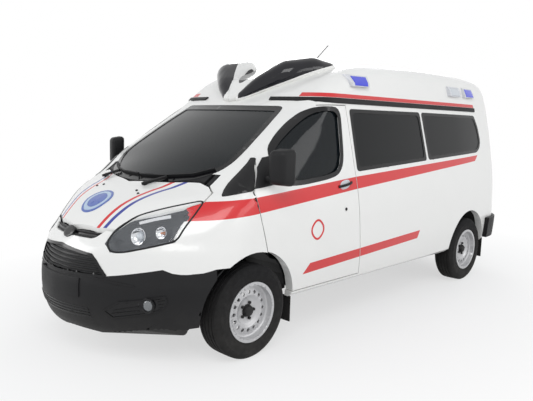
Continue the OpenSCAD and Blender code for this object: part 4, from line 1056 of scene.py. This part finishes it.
bpy.ops.object.select_all(action="DESELECT")
bpy.ops.mesh.primitive_cylinder_add(vertices=6, radius=0.012, depth=0.018, location=(0, 0, 0))
nut = bpy.context.object
apply(nut, "BEVEL", width=0.003, segments=2)
nut_mesh = nut.data.copy()
drop(nut)
cap = [(0.0, 0.034), (0.026, 0.033), (0.036, 0.028), (0.042, 0.016), (0.044, 0.002), (0.048, 0.0), (0.048, -0.002),
       (0.040, -0.002), (0.038, 0.012), (0.033, 0.025), (0.0, 0.029)]
NUTS, NUT_RING, NUT_OUT, DISC_OUT = 5, 0.060, 0.007, 0.042
for corner in CORNERS:
    sign = 1 if corner.endswith("left") else -1
    body = "wheel_" + corner
    low, high = (Vector(v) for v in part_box("tyre_" + corner))
    centre = (low + high) / 2
    ring = new_object("tread_" + corner, tyre.data.copy())
    ring.data.transform(Matrix.Translation(centre - hub))
    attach(ring, body)
    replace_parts(ring, "tyre_" + corner)
    smooth_copy("rim_" + corner, wheel_paint, angle=25, flat=False)
    disc = centre + Vector((sign * DISC_OUT, 0, 0))
    lathe("hub_cap_" + corner, cap, disc, (sign, 0, 0), black_plastic, body)
    nuts = bmesh.new()
    for i in range(NUTS):
        a = 2 * math.pi * i / NUTS
        spot = disc + Vector((sign * NUT_OUT, math.cos(a) * NUT_RING, math.sin(a) * NUT_RING))
        first = len(nuts.verts)
        nuts.from_mesh(nut_mesh)
        nuts.verts.ensure_lookup_table()
        move = Matrix.Translation(spot) @ Matrix.Rotation(math.pi / 2, 4, "Y")
        bmesh.ops.transform(nuts, matrix=move, verts=nuts.verts[first:])
    done(to_object(nuts, "wheel_nuts_" + corner), "wheel_nuts_" + corner, black_plastic, body)
drop(tyre)
print("tyre faces:", len(ring.data.polygons))

# %% [markdown]
# ## Mirrors
# The mirror housing is a rounded plastic shell, narrower in front, with its glass set into the open back.
# A box with its front drawn in and its edges rounded gives that form, and one inset makes the rim around the glass.

# %% Mirrors
mirror_glass = finish("mirror_glass", (0.30, 0.32, 0.34), 0.04, metal=0.9, vary=0.05)
def boxed(name, low, high, mat, body, edge, segments=4, shape=None):
    """A box between two corners with rounded edges; shape may move its points first."""
    low, high = Vector(low), Vector(high)
    bpy.ops.object.select_all(action="DESELECT")
    bpy.ops.mesh.primitive_cube_add(size=1, location=(low + high) / 2)
    obj = bpy.context.object
    obj.scale = high - low
    bpy.ops.object.transform_apply(location=True, rotation=False, scale=True)
    if shape:
        shape(obj)
    if edge:
        apply(obj, "BEVEL", width=edge, segments=segments, limit_method="ANGLE", angle_limit=0.4)
    return done(obj, name, mat, body)

def press_in(obj, normal, rim, deep):
    """The faces that look one way are inset and pushed in."""
    only(obj)
    for f in obj.data.polygons:
        f.select = f.normal.dot(Vector(normal)) > 0.9
    bpy.ops.object.mode_set(mode="EDIT")
    bpy.ops.mesh.select_mode(type="FACE")
    bpy.ops.mesh.inset(thickness=rim)
    bpy.ops.mesh.extrude_region_move()
    bpy.ops.transform.translate(value=-Vector(normal) * deep)
    bpy.ops.object.mode_set(mode="OBJECT")

MIRROR_X, MIRROR_Z, MIRROR_LEAN = 1.058, 1.37, 0.30
for side, sign in SIDES:
    body = "door_front_" + side
    def housing(obj):
        for v in obj.data.vertices:
            if v.co.y < AXLE + 0.10:
                v.co.x = sign * (MIRROR_X + (sign * v.co.x - MIRROR_X) * 0.80)
                v.co.z = MIRROR_Z + (v.co.z - MIRROR_Z) * 0.86
    def swept_back(obj):
        for v in obj.data.vertices:
            v.co.y += MIRROR_LEAN * (sign * v.co.x - MIRROR_X)
    x0, x1 = sorted((sign * 0.982, sign * 1.131))
    shell = boxed("mirror_shell_" + side, at(x0, 0.092, 1.236), at(x1, 0.222, 1.506), black_plastic, body,
                  0.034, 6, housing)
    press_in(shell, (0, 1, 0), 0.006, 0.010)
    swept_back(shell)
    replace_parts(shell, "mirror_" + side)
    x0, x1 = sorted((sign * 0.999, sign * 1.114))
    boxed("mirror_pane_" + side, at(x0, 0.211, 1.254), at(x1, 0.2155, 1.488), mirror_glass, body, 0.001, 2, swept_back)
    x0, x1 = sorted((sign * 0.945, sign * 1.04))
    boxed("mirror_arm_" + side, at(x0, 0.105, 1.262), at(x1, 0.168, 1.306), black_plastic, body, 0.012)

# %% [markdown]
# ### Wipers and washer jets
# A wiper is a rubber blade on a pressed arm that turns on a spindle. Straight bars would cut the bowed screen,
# so blade and arm are swept along it. The spindle caps and the jets are round, so they are spun.

# %% Wipers and jets
WIPERS = (("left", [(0.62, 1.335), (0.50, 1.290), (0.30, 1.266), (0.05, 1.258)], [(0.20, 1.205), (0.33, 1.262)]),
          ("right", [(0.02, 1.262), (-0.20, 1.262), (-0.42, 1.276), (-0.56, 1.302)], [(-0.46, 1.205), (-0.28, 1.262)]))
WIPER_FOOT = [(0.0, 0.024), (0.012, 0.022), (0.018, 0.012), (0.020, -0.004), (0.0, -0.004)]
JET = [(0.0, 0.008), (0.007, 0.006), (0.011, 0.0), (0.011, -0.003), (0.0, -0.003)]
for tag, blade, arm in WIPERS:
    path = onto(fill_path(blade, 0.03), "front", 0.008)
    rail("wiper_blade_" + tag, path, strip(0.006, 0.014, -0.006), black_plastic)
    path = onto(fill_path(arm, 0.02), "front", 0.014)
    rail("wiper_arm_" + tag, path, strip(0.009, 0.014, -0.004), black_plastic)
    foot = onto([arm[0]], "front", 0.0)[0]
    lathe("wiper_foot_" + tag, WIPER_FOOT, foot, outward([foot])[0], black_plastic)
for tag, sign in SIDES:
    for i, (x, s) in enumerate(((0.225, -0.470), (0.280, -0.495))):
        spot = onto([(sign * x, s + AXLE)], "top", 0.0)[0]
        lathe("washer_jet_%s_%d" % (tag, i), JET, spot, outward([spot])[0], black_plastic, "bonnet", steps=16)
print("wipers done")

# %% [markdown]
# ## Small fittings on the outside
# Handles are bowed bars over a grey patch lying flat on the skin; its grey is painted shade, standing in for the
# shallow dish pressed in behind the handle. Marks on the van are cut from film, so they are thin patches on the skin:
# a plain ringed disc on the bonnet, a plain disc in the slot and a plain outline on the doors.

# %% Marks
film_red = finish("film_red", RED, 0.3, coat=0.5, vary=0.04)
film_blue = finish("film_blue", (0.035, 0.10, 0.42), 0.3, coat=0.5, vary=0.06, scale=12)
film_pale = finish("film_pale", (0.42, 0.55, 0.72), 0.3, coat=0.5, vary=0.08, scale=20)
mark_y = -0.655 + AXLE
for name, loops, mat in (("bonnet_ring", [circle(0, mark_y, 0.128, 0.108), circle(0, mark_y, 0.112, 0.094)], film_blue),
                         ("bonnet_band", [circle(0, mark_y, 0.110, 0.0925), circle(0, mark_y, 0.082, 0.069)], film_pale),
                         ("bonnet_disc", [circle(0, mark_y, 0.080, 0.067)], film_blue)):
    patch(name, loops, "top", mat, "bonnet", 0.0035, 0.003, longest=0.02)
patch("slot_disc", [circle(0, 0.886, 0.062, 0.036)], "front", gloss_black, "body", 0.010, 0.026, edge=0.004)
diamond = [tuple(q) for q in curved(behind((0.558, 0.868), (0.663, 0.976), (0.768, 0.868), (0.663, 0.760)), 3, True)]
for side, sign in SIDES:
    patch("door_mark_" + side, [diamond, grown(diamond, -0.016)], side, film_red, "door_front_" + side, 0.002, 0.0025)

# %% Handles, keyholes, rail and rear fittings
def bar_handle(name, points, out, seen, mat, body):
    path = onto(fill_path(points, 0.012), seen)
    n = len(path)
    rise = [out * min(1.0, 3.2 * min(i, n - 1 - i) / (n - 1)) for i in range(n)]
    path = path + outward(path) * np.array(rise)[:, None]
    section = [(0.011 * math.cos(a), 0.008 * math.sin(a)) for a in np.linspace(0, 2 * math.pi, 13)[:-1]]
    rail(name, path, section, mat, body)

for side, sign in SIDES:
    body = "door_front_" + side
    # The grey of this flat patch is painted shade for the recess behind the handle.
    recess_shade = [tuple(q) for q in curved(behind((0.955, 1.150), (1.085, 1.170), (1.085, 1.240), (0.955, 1.222)), 3, True)]
    patch("handle_recess_painted_shade_" + side, [recess_shade], side, lamp_shell, body, 0.0015, 0.003)
    bar_handle("door_handle_" + side, behind((0.930, 1.180), (1.112, 1.208)), 0.026, side, black_plastic, body)
    keyhole = [circle(1.023 + AXLE, 0.996, 0.013)]
    patch("keyhole_" + side, keyhole, side, black_plastic, body, 0.004, 0.006, longest=0.01, edge=0.001)
bar_handle("slide_handle", behind((1.245, 1.200), (1.420, 1.212)), 0.026, "right", black_plastic, "body")
path = onto(fill_path(behind((2.40, 1.300), (3.62, 1.345)), 0.06), "right")
rail("slide_track", path, strip(0.014, 0.004), black_plastic)
bar_handle("rear_handle", [(-0.09, 1.02), (-0.09, 0.90)], 0.026, "back", black_plastic, "door_rear_right")
plate = [(0.10, 0.66), (0.60, 0.66), (0.60, 0.77), (0.10, 0.77)]
patch("rear_plate", [plate], "back", lamp_shell, "door_rear_left", 0.006, 0.006, edge=0.001)
plate_lamp = [(0.20, 0.785), (0.50, 0.785), (0.48, 0.815), (0.22, 0.815)]
patch("rear_plate_lamp", [plate_lamp], "back", black_plastic, "door_rear_left", 0.014, 0.016, edge=0.004)

# %% [markdown]
# ## Side lamps, tail lamps and fog lamps
# These are moulded lenses in shallow housings. The roof lamps only need eased edges, so they are copies of their solids.
# The tail lamp is one lens in bands of colour, drawn as a pattern; the fog lamp is a ring and a domed glass, both spun.

# %% Lamps on the roof, tail lamps and fog lamps
smooth_copy("lamp_housings", lamp_shell, edge=0.006)
smooth_copy("blue_lamps", lens_blue, edge=0.006)
smooth_copy("clear_lamps", lens_white, edge=0.006)
tail_low, tail_high = (Vector(v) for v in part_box("tail_lamps"))
def tail_pattern(tree):
    up = coordinates(tree)[2]
    colour = rgba((0.40, 0.006, 0.008))
    for share, width, tint in ((0.30, 0.22, (0.62, 0.17, 0.01)), (0.52, 0.16, (0.60, 0.62, 0.64))):
        z0, z1 = (tail_low.z + (tail_high.z - tail_low.z) * v for v in (share, share + width))
        mask = inside(tree, coordinates(tree)[0], up, [(0, z0), (2, z0), (2, z1), (0, z1)])
        colour = mixed(tree, mask, colour, rgba(tint))
    return colour
tail_lens = finish("tail_lens", (0.4, 0.006, 0.008), 0.08, coat=0.7, vary=0.2, scale=40, pattern=tail_pattern)
dress(panel("tail_lamps", longest=0.03), tail_lens)
fog_glass = finish("fog_glass", (0.20, 0.21, 0.22), 0.08, metal=0.5, coat=0.6, vary=0.3, scale=60)
fog_ring = [(0.040, 0.006), (0.046, 0.010), (0.052, 0.006), (0.052, -0.008), (0.040, -0.008), (0.040, 0.006)]
fog_lens = [(0.0, 0.010), (0.018, 0.009), (0.032, 0.005), (0.040, -0.002), (0.036, -0.008), (0.0, -0.008)]
for side, sign in SIDES:
    spot = onto([(sign * 0.688, 0.468)], "front", 0.0)[0]
    facing = Vector(outward([spot])[0]) + Vector((0, -0.8, 0))
    spot = Vector(spot) + Vector(outward([spot])[0]) * 0.004
    lathe("fog_ring_" + side, fog_ring, spot, facing, black_plastic)
    lathe("fog_lens_" + side, fog_lens, spot, facing, fog_glass)
print("lamps done")

# %% [markdown]
# ## Seats
# A van seat is foam under stretched cloth: crowned in the middle, pulled down along its sewn channels
# and rounded at its edges.
# A subdivided box with its middle raised and its seam rows drawn in gives that form, and subdivision rounds it off.

# %% Seat pads
SEAM_DEEP, SEAM_HALF = 0.014, 0.07
def padding(name, low, high, along, mat, crown_by=0.022, seams=(-0.27, 0.27), rows=(0.0,)):
    """A crowned pad between two corners; along is the angle by which it leans back."""
    low, high = Vector(low), Vector(high)
    size, centre = high - low, (low + high) / 2
    bpy.ops.object.select_all(action="DESELECT")
    bpy.ops.mesh.primitive_cube_add(size=1, location=(0, 0, 0))
    obj = bpy.context.object
    edited(obj, (bpy.ops.mesh.subdivide, {"number_cuts": 17}))
    for v in obj.data.vertices:
        u, w, h = v.co * 2
        full = (1 - u ** 4) * (1 - w ** 4)
        waist = 1 - 0.03 * (1 - w * w) * abs(u)
        v.co = Vector((v.co.x * size.x * waist, v.co.y * size.y, v.co.z * (size.z - 2 * crown_by)))
        near = min([abs(u - 2 * q) for q in seams] + [abs(w - 2 * q) for q in rows] + [9])
        v.co.z += (full * crown_by - (SEAM_DEEP if near < SEAM_HALF else 0)) * (1 if h > 0.9 else 0)
    apply(obj, "BEVEL", width=min(size) * 0.22, segments=3, limit_method="ANGLE", angle_limit=0.9)
    apply(obj, "SMOOTH", factor=0.4, iterations=2)
    apply(obj, "SUBSURF", levels=1, render_levels=1)
    obj.data.transform(Matrix.Translation(centre) @ Matrix.Rotation(along, 4, "X"))
    done(obj, name, mat, "body", 60)
    return obj

BACK_LEAN, HEAD_LEAN, SEAT_X = math.atan2(0.570, 0.180), 1.40, 0.415
BACK_HALF, HEAD_HALF = Vector((0.265, 0.350, 0.054)), Vector((0.128, 0.118, 0.044))
for side, sign in SIDES:
    x = sign * SEAT_X
    low, high = at(x - 0.280, 0.424, 0.642), at(x + 0.280, 1.016, 0.758)
    cushion = padding("seat_cushion_" + side, low, high, 0, seat_cloth)
    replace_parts(cushion, "seats")
    mid = at(x, 1.060, 1.045)
    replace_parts(padding("seat_back_" + side, mid - BACK_HALF, mid + BACK_HALF, BACK_LEAN, seat_cloth), "seats")
    mid = at(x, 1.172, 1.465)
    rest = padding("head_rest_" + side, mid - HEAD_HALF, mid + HEAD_HALF, HEAD_LEAN, seat_cloth, 0.012, (), ())
    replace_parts(rest, "seats")
    low, high = at(x - 0.212, 0.522, 0.502), at(x + 0.212, 0.918, 0.652)
    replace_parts(boxed("seat_base_" + side, low, high, black_plastic, "body", 0.012), "seats")
smooth_copy("steering_wheel", black_plastic, angle=40)
smooth_copy("dashboard", black_plastic, edge=0.012)

# %% [markdown]
# ## Chassis and load space
# Castings, welded axles and flat linings have plain forms, so their solids are already the finished shape.
# Modelling them again would add nothing that is seen, so they only get a finish.

# %% Finishes of the solids that show as they are
SHOWN = {"grilles": gloss_black, "aerial": gloss_black, "mud_flaps": tyre_rubber, "wheel_liners": black_plastic,
         "knuckle_left": cast_metal, "knuckle_right": cast_metal, "front_subframe": dark_metal, "rear_axle": dark_metal,
         "engine": cast_metal, "exhaust": cast_metal, "hinge_pins": cast_metal, "towing_eye": dark_metal,
         "partition": floor_coat, "floor_pan": dark_metal}
for name, mat in SHOWN.items():
    dress(nodes[name], mat)
print("solids dressed:", len(SHOWN))
